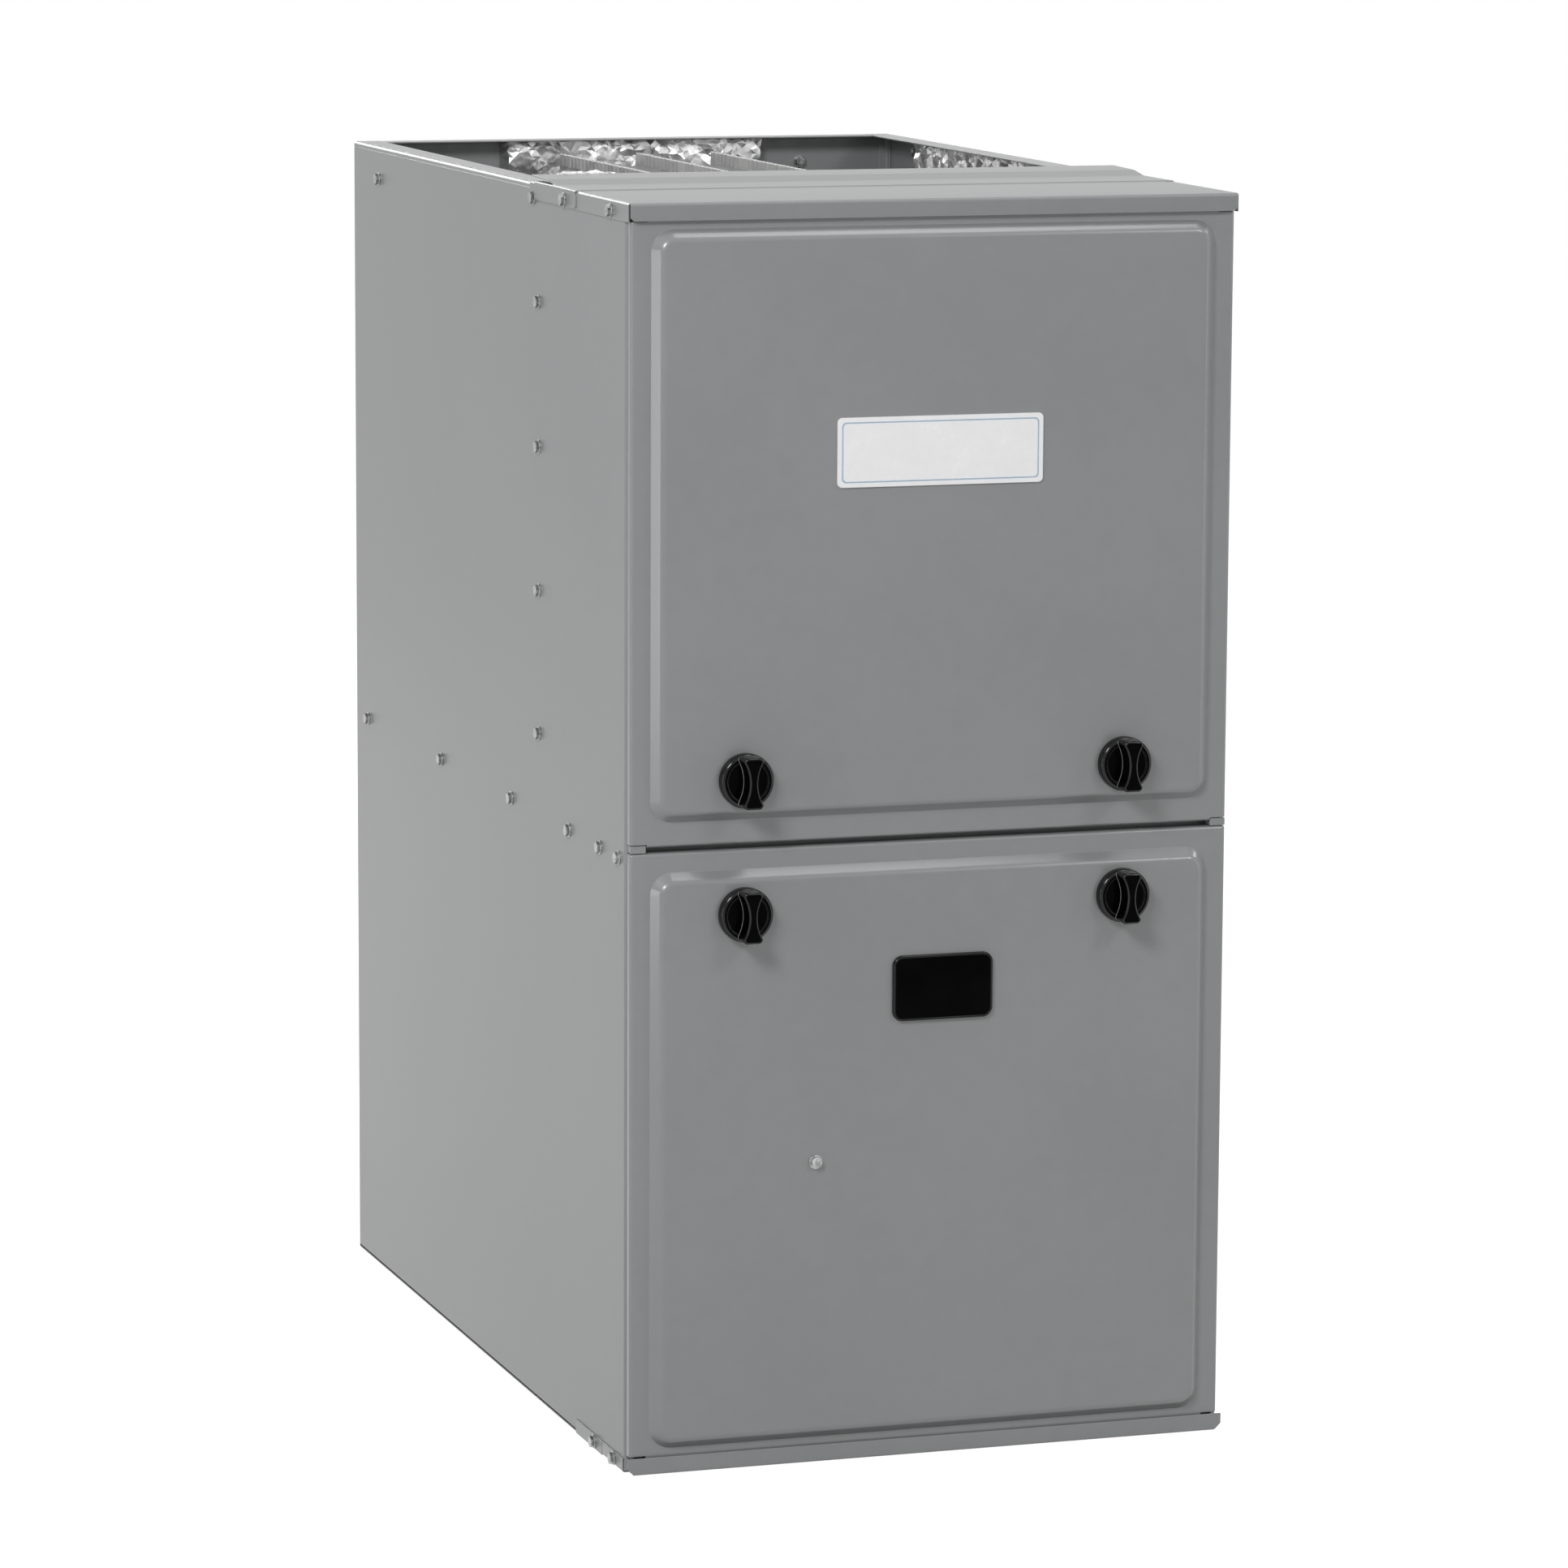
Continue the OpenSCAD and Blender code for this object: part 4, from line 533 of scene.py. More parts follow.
def fold(mesh, corners, side, span, axis, radius, gauge=1.0):
    """Adds a folded sheet drawn out along an axis. Its line runs in the other two, in order."""
    line = folded_line(corners, side, radius, gauge)
    under = [(p.x + n.x * gauge, p.y + n.y * gauge) for p, n in line]
    rows = []
    for w in span:
        face = [mesh.verts.new(DRAW[axis](p.x, p.y, w)) for p, n in line]
        back = [mesh.verts.new(DRAW[axis](u, v, w)) for u, v in under]
        rows.append((face, back))
    (face0, back0), (face1, back1) = rows
    for i in range(len(line) - 1):
        mesh.faces.new((face0[i], face0[i + 1], face1[i + 1], face1[i]))
        mesh.faces.new((back0[i], back1[i], back1[i + 1], back0[i + 1]))
        mesh.faces.new((face0[i], back0[i], back0[i + 1], face0[i + 1]))
        mesh.faces.new((face1[i], face1[i + 1], back1[i + 1], back1[i]))
    mesh.faces.new((face0[0], face1[0], back1[0], back0[0]))
    mesh.faces.new((face0[-1], back0[-1], back1[-1], face1[-1]))
    return mesh


print("each fold has", BEND_STEPS, "facets")

# %% [markdown]
# ## Flat plates
# Tabs, holes and the backs of knobs are flat shapes with round corners. Blender could bevel a
# box, but an outline worked out point by point keeps the same count of points at every size,
# and that is what lets later cells join one outline to the next.

# %% Flat plates with rounded corners
def rounded(x, z, radius, steps=5):
    """Outline points of a rounded rectangle, anticlockwise from its lower right corner."""
    points = []
    for cx, cz, start in ((x[1], z[0], -90), (x[1], z[1], 0), (x[0], z[1], 90), (x[0], z[0], 180)):
        mx = cx - radius if cx == x[1] else cx + radius
        mz = cz - radius if cz == z[1] else cz + radius
        for i in range(steps + 1):
            angle = math.radians(start + 90 * i / steps)
            points.append((mx + radius * math.cos(angle), mz + radius * math.sin(angle)))
    return points


def plate(mesh, outline, span, axis):
    """Adds a flat plate: an outline drawn out along an axis."""
    rows = [[mesh.verts.new(DRAW[axis](u, v, w)) for u, v in outline] for w in span]
    mesh.faces.new(rows[0])
    mesh.faces.new(list(reversed(rows[1])))
    count = len(outline)
    for i in range(count):
        j = (i + 1) % count
        mesh.faces.new((rows[0][i], rows[1][i], rows[1][j], rows[0][j]))
    return mesh


# %% [markdown]
# ## The casing
# Each side is one sheet: a narrow flange folded in along the front, the wall, and a flange folded
# in round the supply opening with a row of slots, so that a fitter can bend it up. Front fold and
# top fold meet under the top plate, so two folded strips per side are enough.

# %% Casing sizes, in millimetres
HALF, BACK, FRONT, TOP = 222.25, 387.0, -351.0, 889.0
# Rear edge of the top plate, height where the doors meet, widths of the folded flanges
PLATE_REAR, MEET, FLANGE_IN, FLANGE_FRONT, FLANGE_LOW = -117.5, 443.0, 20.6, 13.0, 20.0
BEND, GAUGE, BASE = 2.5, 1.0, 1.2
SEAM = TOP - 4.0
SLOT_LONG, SLOT_PITCH, SLOT_PITCH_BACK, SLOT_OUT, SLOT_IN = 14, 24, 23, 2.6, 3.8
SLOT_Z, SLOTS_SIDE, SLOTS_HALF_BACK = (TOP - 3, TOP + 1), 19, 8
# Y, Z and radius of the air, vent, gas, drain and wire holes in the right side
SIDE_HOLES = [(-192, 825, 38.2), (-190, 640, 38.2), (-266, 752, 22.25), (-165, 475, 12.5),
              (-305, 365.4, 11.1)]


def beside(side, inner, outer):
    """The two X limits, in order, of a strip between two distances in from a casing side."""
    return sorted((side * (HALF - inner), side * (HALF - outer)))


def flange_slots(mesh):
    """Slots in the fold line of the top flanges."""
    for i in range(SLOTS_SIDE):
        start = PLATE_REAR + SLOT_LONG + i * SLOT_PITCH
        for side in (-1, 1):
            box_into(mesh, beside(side, SLOT_IN, SLOT_OUT), (start, start + SLOT_LONG), SLOT_Z)
    for i in range(-SLOTS_HALF_BACK, SLOTS_HALF_BACK + 1):
        middle, reach = i * SLOT_PITCH_BACK, SLOT_LONG / 2
        box_into(mesh, (middle - reach, middle + reach), (BACK - SLOT_IN, BACK - SLOT_OUT), SLOT_Z)
    return mesh


def box_cutter(x, y, z):
    """A single block to cut with."""
    tool = fresh()
    box_into(tool, x, y, z)
    return tool


print("side holes:", len(SIDE_HOLES), "seam at", SEAM)


# %% Fold the casing panels
def side_panel(side):
    """One casing side: wall with front fold, top strip with its slots, and the bottom flange.
    At the gap between the doors a slot relieves the fold, and a small tab stands out."""
    out, plate_end = side * HALF, PLATE_REAR + 1
    walk = [(side * (HALF - FLANGE_FRONT), FRONT), (out, FRONT), (out, BACK)]
    wall = fold(fresh(), walk, side, (BASE, SEAM), "Z", BEND)
    relief = (beside(side, 3.2, 2.2), (FRONT - 2, FRONT + 4), (MEET - 7.5, MEET + 7.5))
    wall = cut(wall, box_cutter(*relief))
    tab = rounded(beside(side, FLANGE_FRONT - 0.3, 1.6), (MEET - 1.7, MEET + 3.6), 0.4, 2)
    plate(wall, tab, (FRONT - 7.2, FRONT - 0.2), "Y")
    if side > 0:
        holes = fresh()
        for y, z, radius in SIDE_HOLES:
            rod_into(holes, (HALF, y, z), radius, 8, "X", 64)
        wall = cut(wall, holes)
    walk = [(out, SEAM), (out, TOP), (side * (HALF - FLANGE_IN), TOP)]
    strip = fold(fresh(), walk, side, (plate_end, BACK), "Y", BEND)
    join(wall, cut(strip, flange_slots(fresh())))
    fold(wall, [(out, SEAM), (out, TOP)], side, (FRONT + BEND, plate_end), "Y", BEND)
    walk = [(out, BASE), (side * (HALF - FLANGE_LOW), BASE)]
    fold(wall, walk, -side, (FRONT, BACK), "Y", BEND)
    return wall


piece(side_panel(-1), "casing_left_folded", "cabinet", "enamel", ["casing_left"])
piece(side_panel(1), "casing_right_folded", "cabinet", "enamel", ["casing_right"])

# The back lies between the sides, with an angle strip up each rear corner
ANGLE_ARM, ANGLE_GAP, ANGLE_LOW = 9, 1.3, 450.0
rear = fold(fresh(), [(BACK, BASE), (BACK, SEAM)], 1, (-HALF + GAUGE, HALF - GAUGE), "X", BEND)
for side in (-1, 1):
    near, far = side * (HALF - ANGLE_GAP), side * (HALF - ANGLE_ARM)
    walk = [(far, BACK - ANGLE_GAP), (near, BACK - ANGLE_GAP), (near, BACK - ANGLE_ARM)]
    fold(rear, walk, -side, (ANGLE_LOW, TOP - 1.2), "Z", 2.0, 0.8)
rim_x = (-HALF + FLANGE_IN, HALF - FLANGE_IN)
rim = fold(fresh(), [(BACK, SEAM), (BACK, TOP), (BACK - FLANGE_IN, TOP)], 1, rim_x, "X", BEND)
join(rear, cut(rim, flange_slots(fresh())))
for side in (-1, 1):
    ends = beside(side, GAUGE, FLANGE_IN)
    fold(rear, [(BACK, SEAM), (BACK, TOP - GAUGE)], 1, ends, "X", BEND)
foot_x = (-HALF + FLANGE_LOW, HALF - FLANGE_LOW)
fold(rear, [(BACK, BASE), (BACK - FLANGE_LOW, BASE)], -1, foot_x, "X", BEND)
piece(rear, "casing_back_folded", "cabinet", "enamel", ["casing_back"])

# %% [markdown]
# ## Top plate and sill
# The top plate folds down at the front as a lip that holds the upper door, down the sides as two
# flanges. A second strip crosses it near the rear: it steps up by its own thickness, ends in a
# tab on each side, and rises gently to the rear edge, where air leaves the cabinet. The sill below
# mirrors the lip: it stands a little ahead of the door and its lower corners are cut off.

# %% Corners cut off a lip
LIP_Y, LIP_LOW, LIP_HALF, PLATE_TOP, PLATE_OUT = -362.0, 877.6, 222.1, 890.0, 223.25
print("lip from", LIP_LOW, "to", PLATE_TOP)


def corners_off(mesh, half, low):
    """Cuts both lower corners of a folded lip off at 45 degrees."""
    for side in (-1, 1):
        bmesh.ops.bisect_plane(
            mesh, geom=mesh.verts[:] + mesh.edges[:] + mesh.faces[:], clear_outer=True,
            plane_co=(side * half, 0, low), plane_no=(side, 0, -1),
        )
    bmesh.ops.holes_fill(mesh, edges=[e for e in mesh.edges if e.is_boundary])
    return mesh


# %% Fold the top plate
TAB_FRONT, TAB_REAR, STEP_UP, STEP_RUN, TAB_THICK = -234.5, -131.5, 0.8, 2.6, 0.8
RAMP_START, RAMP_END, RAMP_HIGH, RAMP_TOP = -180.0, -160.0, 893.7, 894.5
strip_z = PLATE_TOP + STEP_UP
profile = [(LIP_Y, LIP_LOW), (LIP_Y, PLATE_TOP), (TAB_FRONT, PLATE_TOP),
           (TAB_FRONT + STEP_RUN, strip_z), (RAMP_START, strip_z), (RAMP_END, RAMP_HIGH),
           (PLATE_REAR - 0.5, RAMP_TOP)]
top = fold(fresh(), profile, -1, (-LIP_HALF, LIP_HALF), "X", 2.4)
corners_off(top, LIP_HALF - 2.5, LIP_LOW)
for side in (-1, 1):
    out, tab_out = side * PLATE_OUT, side * (PLATE_OUT + TAB_THICK)
    hold = side * (PLATE_OUT - 6)
    walk = [(out, LIP_LOW - 0.6), (out, PLATE_TOP - 0.1), (hold, PLATE_TOP - 0.1)]
    fold(top, walk, side, (LIP_Y + 2.2, PLATE_REAR), "Y", 1.6)
    tab = rounded((TAB_FRONT, TAB_REAR), (LIP_LOW + 0.4, PLATE_TOP - 1), 2.2)
    plate(top, tab, sorted((out, tab_out)), "X")
    walk = [(tab_out, PLATE_TOP - 0.95), (tab_out, strip_z - 0.1), (hold, strip_z - 0.1)]
    fold(top, walk, side, (TAB_FRONT + 0.4, TAB_REAR), "Y", 1.3)
piece(top, "top_plate_folded", "cabinet", "enamel_top", ["top_plate"])

# %% Fold the sill
SILL_HIGH, SILL_REAR, SILL_HALF, CUT_OFF, SIDE_TAB = 12.2, -300.0, 223.2, 5.0, 10.0
walk = [(LIP_Y, SILL_HIGH), (LIP_Y, 0.0), (-349.0, 0.0)]
sill = fold(fresh(), walk, 1, (-SILL_HALF, SILL_HALF), "X", 1.8)
corners_off(sill, SILL_HALF - CUT_OFF, 0.0)
walk = [(-PLATE_OUT, SIDE_TAB), (-PLATE_OUT, 0.0), (PLATE_OUT, 0.0), (PLATE_OUT, SIDE_TAB)]
fold(sill, walk, 1, (-349.5, SILL_REAR), "Y", 1.8)
# A small plate closes each end of the lip just behind its cut corner
end_gap, end_top = 0.05, 11.6
end_y, end_z = (LIP_Y + 1 + end_gap, FRONT + 1.4), 1 - end_gap
end_plate = [(end_y[0], end_z), (end_y[1], end_z), (end_y[1], end_top), (end_y[0], end_top)]
for side in (-1, 1):
    inner_end = side * (SILL_HALF - CUT_OFF - 1.2)
    plate(sill, end_plate, sorted((inner_end, inner_end + side * 0.9)), "X")
piece(sill, "base_sill_folded", "cabinet", "enamel", ["base_sill"])

# %% [markdown]
# ## Pressed doors
# A die pushes the middle of each door forward. The sheet creases tightly where the die's edge
# held it, rises straight and rolls over softly, so the slope has a sharp foot and a round shoulder.
# It is drawn as rings of the same count of points: pan edge, fold, border, slope, raised face.
# The raised face starts half a millimetre behind the flat border, which darkens the crease.

# %% Rings of a door
DOOR_Y, RISE, SLOPE, CORNER, DOOR_HALF = -359.0, 6.5, 9.2, 16.0, 221.0
PRESS_HALF, PAN_CORNER = 206.4, 1.6
SLOPE_STEPS, FOLD_STEPS, CORNER_STEPS = 24, 6, 12
SAG, STRAIGHT = 0.6, 0.5


def ring(mesh, x, z, radius, y):
    """One loop of points at depth y; every loop has the same count."""
    outline = rounded(x, z, max(radius, 0.05), CORNER_STEPS)
    return [mesh.verts.new((u, y, v)) for u, v in outline]


def grown(limits, by):
    """Two limits moved apart, or together where the distance is below 0."""
    return (limits[0] - by, limits[1] + by)


def bridge(mesh, first, second):
    """Joins two loops of the same count with a band of faces."""
    count = len(first)
    for i in range(count):
        j = (i + 1) % count
        mesh.faces.new((first[i], first[j], second[j], second[i]))


def skin_over(mesh, loops, capped=False):
    """Joins each loop to the next one; capped closes both ends."""
    for first, second in zip(loops, loops[1:]):
        bridge(mesh, first, second)
    if capped:
        mesh.faces.new(loops[0])
        mesh.faces.new(loops[-1])


def press_curve(share):
    """Height of the slope, 0 to 1: straight up from the crease, then a long round shoulder."""
    steep = 2 / (1 + STRAIGHT)
    if share < STRAIGHT:
        return steep * share
    left = (1 - share) / (1 - STRAIGHT)
    return 1 - steep * (1 - STRAIGHT) / 2 * left ** 2


def pressed_skin(mesh, pan_z, press_z, inset, depth):
    """One face of the pressed sheet; inset and depth move it inward and back by the gauge."""
    pan_x = grown((-DOOR_HALF, DOOR_HALF), -inset)
    pan_z = grown(pan_z, -inset)
    press_x = (-PRESS_HALF, PRESS_HALF)
    rings = [ring(mesh, pan_x, pan_z, PAN_CORNER, FRONT - 0.3)]
    bend = BEND - inset
    for i in range(FOLD_STEPS + 1):
        angle = math.pi / 2 * i / FOLD_STEPS
        step_in = bend * (1 - math.cos(angle))
        y = DOOR_Y + depth + bend * (1 - math.sin(angle))
        rings.append(ring(mesh, grown(pan_x, -step_in), grown(pan_z, -step_in), PAN_CORNER, y))
    for i in range(SLOPE_STEPS + 1):
        share = i / SLOPE_STEPS
        inward = SLOPE * share
        y = DOOR_Y + SAG + depth - (RISE + SAG) * press_curve(share)
        x, z = grown(press_x, -inward), grown(press_z, -inward)
        rings.append(ring(mesh, x, z, CORNER - inward, y))
    skin_over(mesh, rings)
    mesh.faces.new(rings[-1])
    return rings[0]


def door(pan_z, press_z, cutters):
    """A closed pressed sheet with its holes, notches and tongue cut."""
    sheet = fresh()
    front = pressed_skin(sheet, pan_z, press_z, 0.0, 0.0)
    back = pressed_skin(sheet, pan_z, press_z, 1.0, 1.0)
    bridge(sheet, back, front)
    tool = fresh()
    for x, y, z in cutters:
        box_into(tool, x, y, z)
    return cut(sheet, tool)


print("rings of", 4 * (CORNER_STEPS + 1), "points")

# %% Press and cut both doors
UPPER_LOW, LOWER_HIGH, KNOB_X = 445.0, 441.0, 140.0
UPPER_KNOB_Z, LOWER_KNOB_Z = 490.5, 396.4
UPPER_PRESS, LOWER_PRESS = (462.0, 872.0), (17.6, 427.0)
WINDOW_X, WINDOW_Z = (-31.0, 43.0), (314.5, 361.0)
SCREW_X, SCREW_Z, SCREW_HOLE, KNOB_HOLE = -87.0, 217.5, 2.25, 5.05
# A tongue is tucked behind the lip or sill; cutters reach past the door at both ends
TUCK, TONGUE_HIGH, WIDE, DEEP = 6.4, 14, 240.0, (-370.0, -340.0)
tongue_half = DOOR_HALF - 12
both = [(-WIDE, -tongue_half), (tongue_half, WIDE)]


def bored(sheet, spots):
    """Cuts round holes along Y."""
    tool = fresh()
    for x, z, radius in spots:
        rod_into(tool, (x, DOOR_Y - RISE, z), radius, 12, "Y", 32)
    return cut(sheet, tool)


upper_cuts = [((-WIDE, WIDE), DEEP, (LIP_LOW + TUCK, 900.0))]
upper_cuts += [(x, DEEP, (LIP_LOW - 0.6, LIP_LOW + TUCK + 1)) for x in both]
upper_cuts += [(x, DEEP, (UPPER_LOW - 1, UPPER_LOW + 2.2)) for x in both]
upper = door((UPPER_LOW, LIP_LOW + TONGUE_HIGH), UPPER_PRESS, upper_cuts)
upper = bored(upper, [(x, UPPER_KNOB_Z, KNOB_HOLE) for x in (-KNOB_X, KNOB_X)])
piece(upper, "upper_door_pressed", "upper_door", "enamel", ["upper_door"],
      sharp=40, finish="enamel_door_shaded")

lower_cuts = [((-WIDE, WIDE), DEEP, (-20.0, SILL_HIGH - TUCK))]
lower_cuts += [(x, DEEP, (SILL_HIGH - TUCK - 1, SILL_HIGH + 0.6)) for x in both]
lower_cuts += [(x, DEEP, (LOWER_HIGH - 0.3, LOWER_HIGH + 1)) for x in both]
lower = door((SILL_HIGH - TONGUE_HIGH, LOWER_HIGH), LOWER_PRESS, lower_cuts)
holes = [(x, LOWER_KNOB_Z, KNOB_HOLE) for x in (-KNOB_X, KNOB_X)]
lower = bored(lower, holes + [(SCREW_X, SCREW_Z, SCREW_HOLE)])
window_outline = rounded(grown(WINDOW_X, -2), grown(WINDOW_Z, -2), 5)
lower = cut(lower, plate(fresh(), window_outline, (-372, -360), "Y"))
piece(lower, "lower_door_pressed", "lower_door", "enamel", ["lower_door"],
      sharp=40, finish="enamel_door_shaded")

# %% [markdown]
# ## Quarter-turn knobs
# Each knob is a glossy black moulding: a low disc with a rolled rim, and a waisted grip that
# stands on it and reaches almost to the rim at both ends. A shaft carries the latch bar behind
# the door. A lathe shape alone would lose the grip, so the grip is an outline with two hollow
# sides, drawn out in steps that round its upper edge.

# %% Knob outlines and heights
FACE_Y = DOOR_Y - RISE
DISC_R, DISC_HIGH, GRIP_HIGH, HOLLOW_R, HOLLOW_DEEP = 19.3, 8.0, 13.5, 30.0, 4.0
RIM_START, RIM_UP, RIM_STEPS = DISC_HIGH - 3.2, 2.9, 6
GRIP_HALF, GRIP_LOW, GRIP_TOP, GRIP_CORNER, GRIP_ROUND = 7.1, -17.8, 18.4, 3.2, 1.6
LATCH_Y, SHAFT_R, COLLAR_R, DISC_SIDES, SHAFT_SIDES = -341.6, 5, 6.5, 64, 40
BAR_HALF, BAR_REACH, BAR_THICK = 4.5, 18, 3
HOLLOW_STEPS, TURN_STEPS, CREST_STEPS = 7, 8, 5


def grip_outline(step):
    """The waisted outline, narrowed by a distance."""
    half, low, high = GRIP_HALF - step, GRIP_LOW + step, GRIP_TOP - step
    corner = GRIP_CORNER - step * 0.8
    middle, reach = (low + high) / 2, (high - low) / 2 - corner
    points = []
    for side in (1, -1):
        for i in range(2 * HOLLOW_STEPS + 1):
            z = middle + side * reach * (i / HOLLOW_STEPS - 1)
            drop = math.sqrt(max(HOLLOW_R ** 2 - (z - middle) ** 2, 0))
            waist = max(drop - (HOLLOW_R - HOLLOW_DEEP), 0)
            points.append((side * (half - waist), z))
        end = middle + side * reach
        turns = [(side, i) for i in range(1, TURN_STEPS)]
        turns += [(-side, i) for i in range(TURN_STEPS - 1, 0, -1)]
        for way, i in turns:
            angle = math.pi / 2 * i / TURN_STEPS
            out = half - corner + corner * math.cos(angle)
            points.append((way * out, end + side * corner * math.sin(angle)))
    return points


print("points round a grip:", len(grip_outline(0.0)))


# %% Mould the four knobs
def turned(mesh, x, z, profile, sides):
    """Loops of a lathe shape along Y: a radius and a height before the door face for each."""
    angles = [2 * math.pi * i / sides for i in range(sides)]
    loops = []
    for radius, high in profile:
        around = [(x + radius * math.cos(a), z + radius * math.sin(a)) for a in angles]
        loops.append([mesh.verts.new((u, FACE_Y - high, v)) for u, v in around])
    return loops


def knob(x, z, name):
    """Disc, grip, shaft and latch bar of one knob."""
    body = fresh()
    profile = [(0, -0.3), (DISC_R - 0.4, -0.3), (DISC_R, 0.2), (DISC_R, RIM_START)]
    for i in range(1, RIM_STEPS + 1):
        angle = math.pi / 2 * i / RIM_STEPS
        profile.append((DISC_R - 3 + 3 * math.cos(angle), RIM_START + RIM_UP * math.sin(angle)))
    dish = DISC_HIGH - 0.9
    profile += [(DISC_R - 4.2, DISC_HIGH - 0.3), (DISC_R - 4.8, dish), (0, dish)]
    skin_over(body, turned(body, x, z, profile, DISC_SIDES))
    crest = DISC_HIGH + GRIP_HIGH
    steps = [(0.0, DISC_HIGH - 1.2), (0.0, crest - 1.8)]
    for i in range(1, CREST_STEPS + 1):
        angle = math.pi / 2 * i / CREST_STEPS
        high = crest - GRIP_ROUND + GRIP_ROUND * math.sin(angle)
        steps.append((GRIP_ROUND * (1 - math.cos(angle)), high))
    rows = []
    for step, high in steps:
        outline = grip_outline(step)
        rows.append([body.verts.new((x + u, FACE_Y - high, z + v)) for u, v in outline])
    skin_over(body, rows, capped=True)
    shaft_long, shaft_middle = LATCH_Y - FACE_Y + 1, (FACE_Y - 1 + LATCH_Y) / 2
    rod_into(body, (x, shaft_middle, z), SHAFT_R, shaft_long, "Y", SHAFT_SIDES)
    rod_into(body, (x, LATCH_Y + 2, z), COLLAR_R, 4, "Y", SHAFT_SIDES)
    bar = rounded((x - BAR_HALF, x + BAR_HALF), (z - BAR_REACH, z + BAR_REACH), 2.0)
    plate(body, bar, (LATCH_Y, LATCH_Y + BAR_THICK), "Y")
    return piece(body, name + "_moulded", name, "knob_black", [name], sharp=32)


for up, height in (("upper", UPPER_KNOB_Z), ("lower", LOWER_KNOB_Z)):
    knob(-KNOB_X, height, f"knob_{up}_left")
    knob(KNOB_X, height, f"knob_{up}_right")

# %% [markdown]
# ## Sight window
# The window is a black moulding snapped into the lower door, with a glossy pane almost flush in a
# narrow rim. From a step away it is one dark tile, and only the rim's rounded edge catches a thin
# bright line. Rings at rising insets draw both, so that pane and rim keep the same round corners.

# %% Window rim and pane
WINDOW_CORNER, PANE_INSET, RIM_BACK = 7.2, 1.72, -4.5


def framed(outline, heights, back):
    """A moulding in rings: an inset and a height for each, after the ring of its back."""
    mesh = fresh()
    loops = []
    for inward, high in [(outline, back)] + heights:
        x, z = grown(WINDOW_X, -inward), grown(WINDOW_Z, -inward)
        loops.append(ring(mesh, x, z, max(WINDOW_CORNER - inward, 1.0), FACE_Y - high))
    skin_over(mesh, loops)
    return mesh, loops


rim_heights = [(0.0, -0.6), (0.0, 1.9), (0.25, 2.5), (0.7, 2.85), (1.1, 2.9), (1.5, 2.7),
               (1.7, 2.3), (1.7, RIM_BACK)]
rim, rim_loops = framed(0.9, rim_heights, RIM_BACK)
bridge(rim, rim_loops[-1], rim_loops[0])
piece(rim, "sight_window_rim", "lower_door", "knob_black", ["sight_bezel"], sharp=40)
pane_heights = [(PANE_INSET, 2.2), (1.9, 2.45), (2.3, 2.55)]
pane, pane_loops = framed(PANE_INSET, pane_heights, 0.4)
pane.faces.new(pane_loops[0])
pane.faces.new(pane_loops[-1])
piece(pane, "sight_window_pane", "lower_door", "lens", ["sight_lens"], sharp=40)

# %% [markdown]
# ## Badge
# A plain white plate sits on the upper door. A thin pale blue line runs round it, inset a few
# millimetres, and the plate is otherwise bare. The line could be a mask in the finish, but a
# narrow raised band keeps its edge crisp from near and far.

# %% Line on the badge
BADGE_X, BADGE_Z, BADGE_FRONT = (-74.2, 76.8), (691.75, 740.25), FACE_Y - 1.2
line = fresh()
band = []
for inward, high in ((3.2, 0.0), (3.3, 0.12), (4.0, 0.12), (4.1, 0.0)):
    x, z = grown(BADGE_X, -inward), grown(BADGE_Z, -inward)
    band.append(ring(line, x, z, 4.0 - inward * 0.3, BADGE_FRONT - high))
skin_over(line, band)
bridge(line, band[-1], band[0])
piece(line, "badge_frame_line", "upper_door", "badge", finish="badge_line", weld=0.0)

# %% [markdown]
# ## Foil insulation
# Foil-faced blankets line the heat exchanger space, and foil pads back the doors. Foil does not
# drape: it crumples into flat facets with sharp creases. A jittered grid is pushed out by cell
# noise at two sizes, so that each facet keeps its own tilt, and only the finest creases are left
# to the finish. The rim turns back to the wall, as a blanket's edge does.

# %% Crumple a sheet
FACET, SMALL_FACET, WANDER, WANDER_SIZE, MEAN_GAP = 24, 10, 9, 40, 0.35
THIN, FLAT_RIM = 0.6, 0.5


def crumple(u, v, seed, coarse, fine):
    """Height of a crumpled sheet at a place: facets at two sizes."""
    drift = noise.noise(Vector((u / WANDER_SIZE, v / WANDER_SIZE, seed))) * WANDER
    spot = Vector((u + drift, v, seed * 7.3))
    near = noise.voronoi(spot / FACET)[0]
    small = noise.voronoi(spot / SMALL_FACET + Vector((3.1, 5.7, seed)))[0]
    return coarse * (near[1] - near[0] - MEAN_GAP) + fine * (small[1] - small[0] - MEAN_GAP)


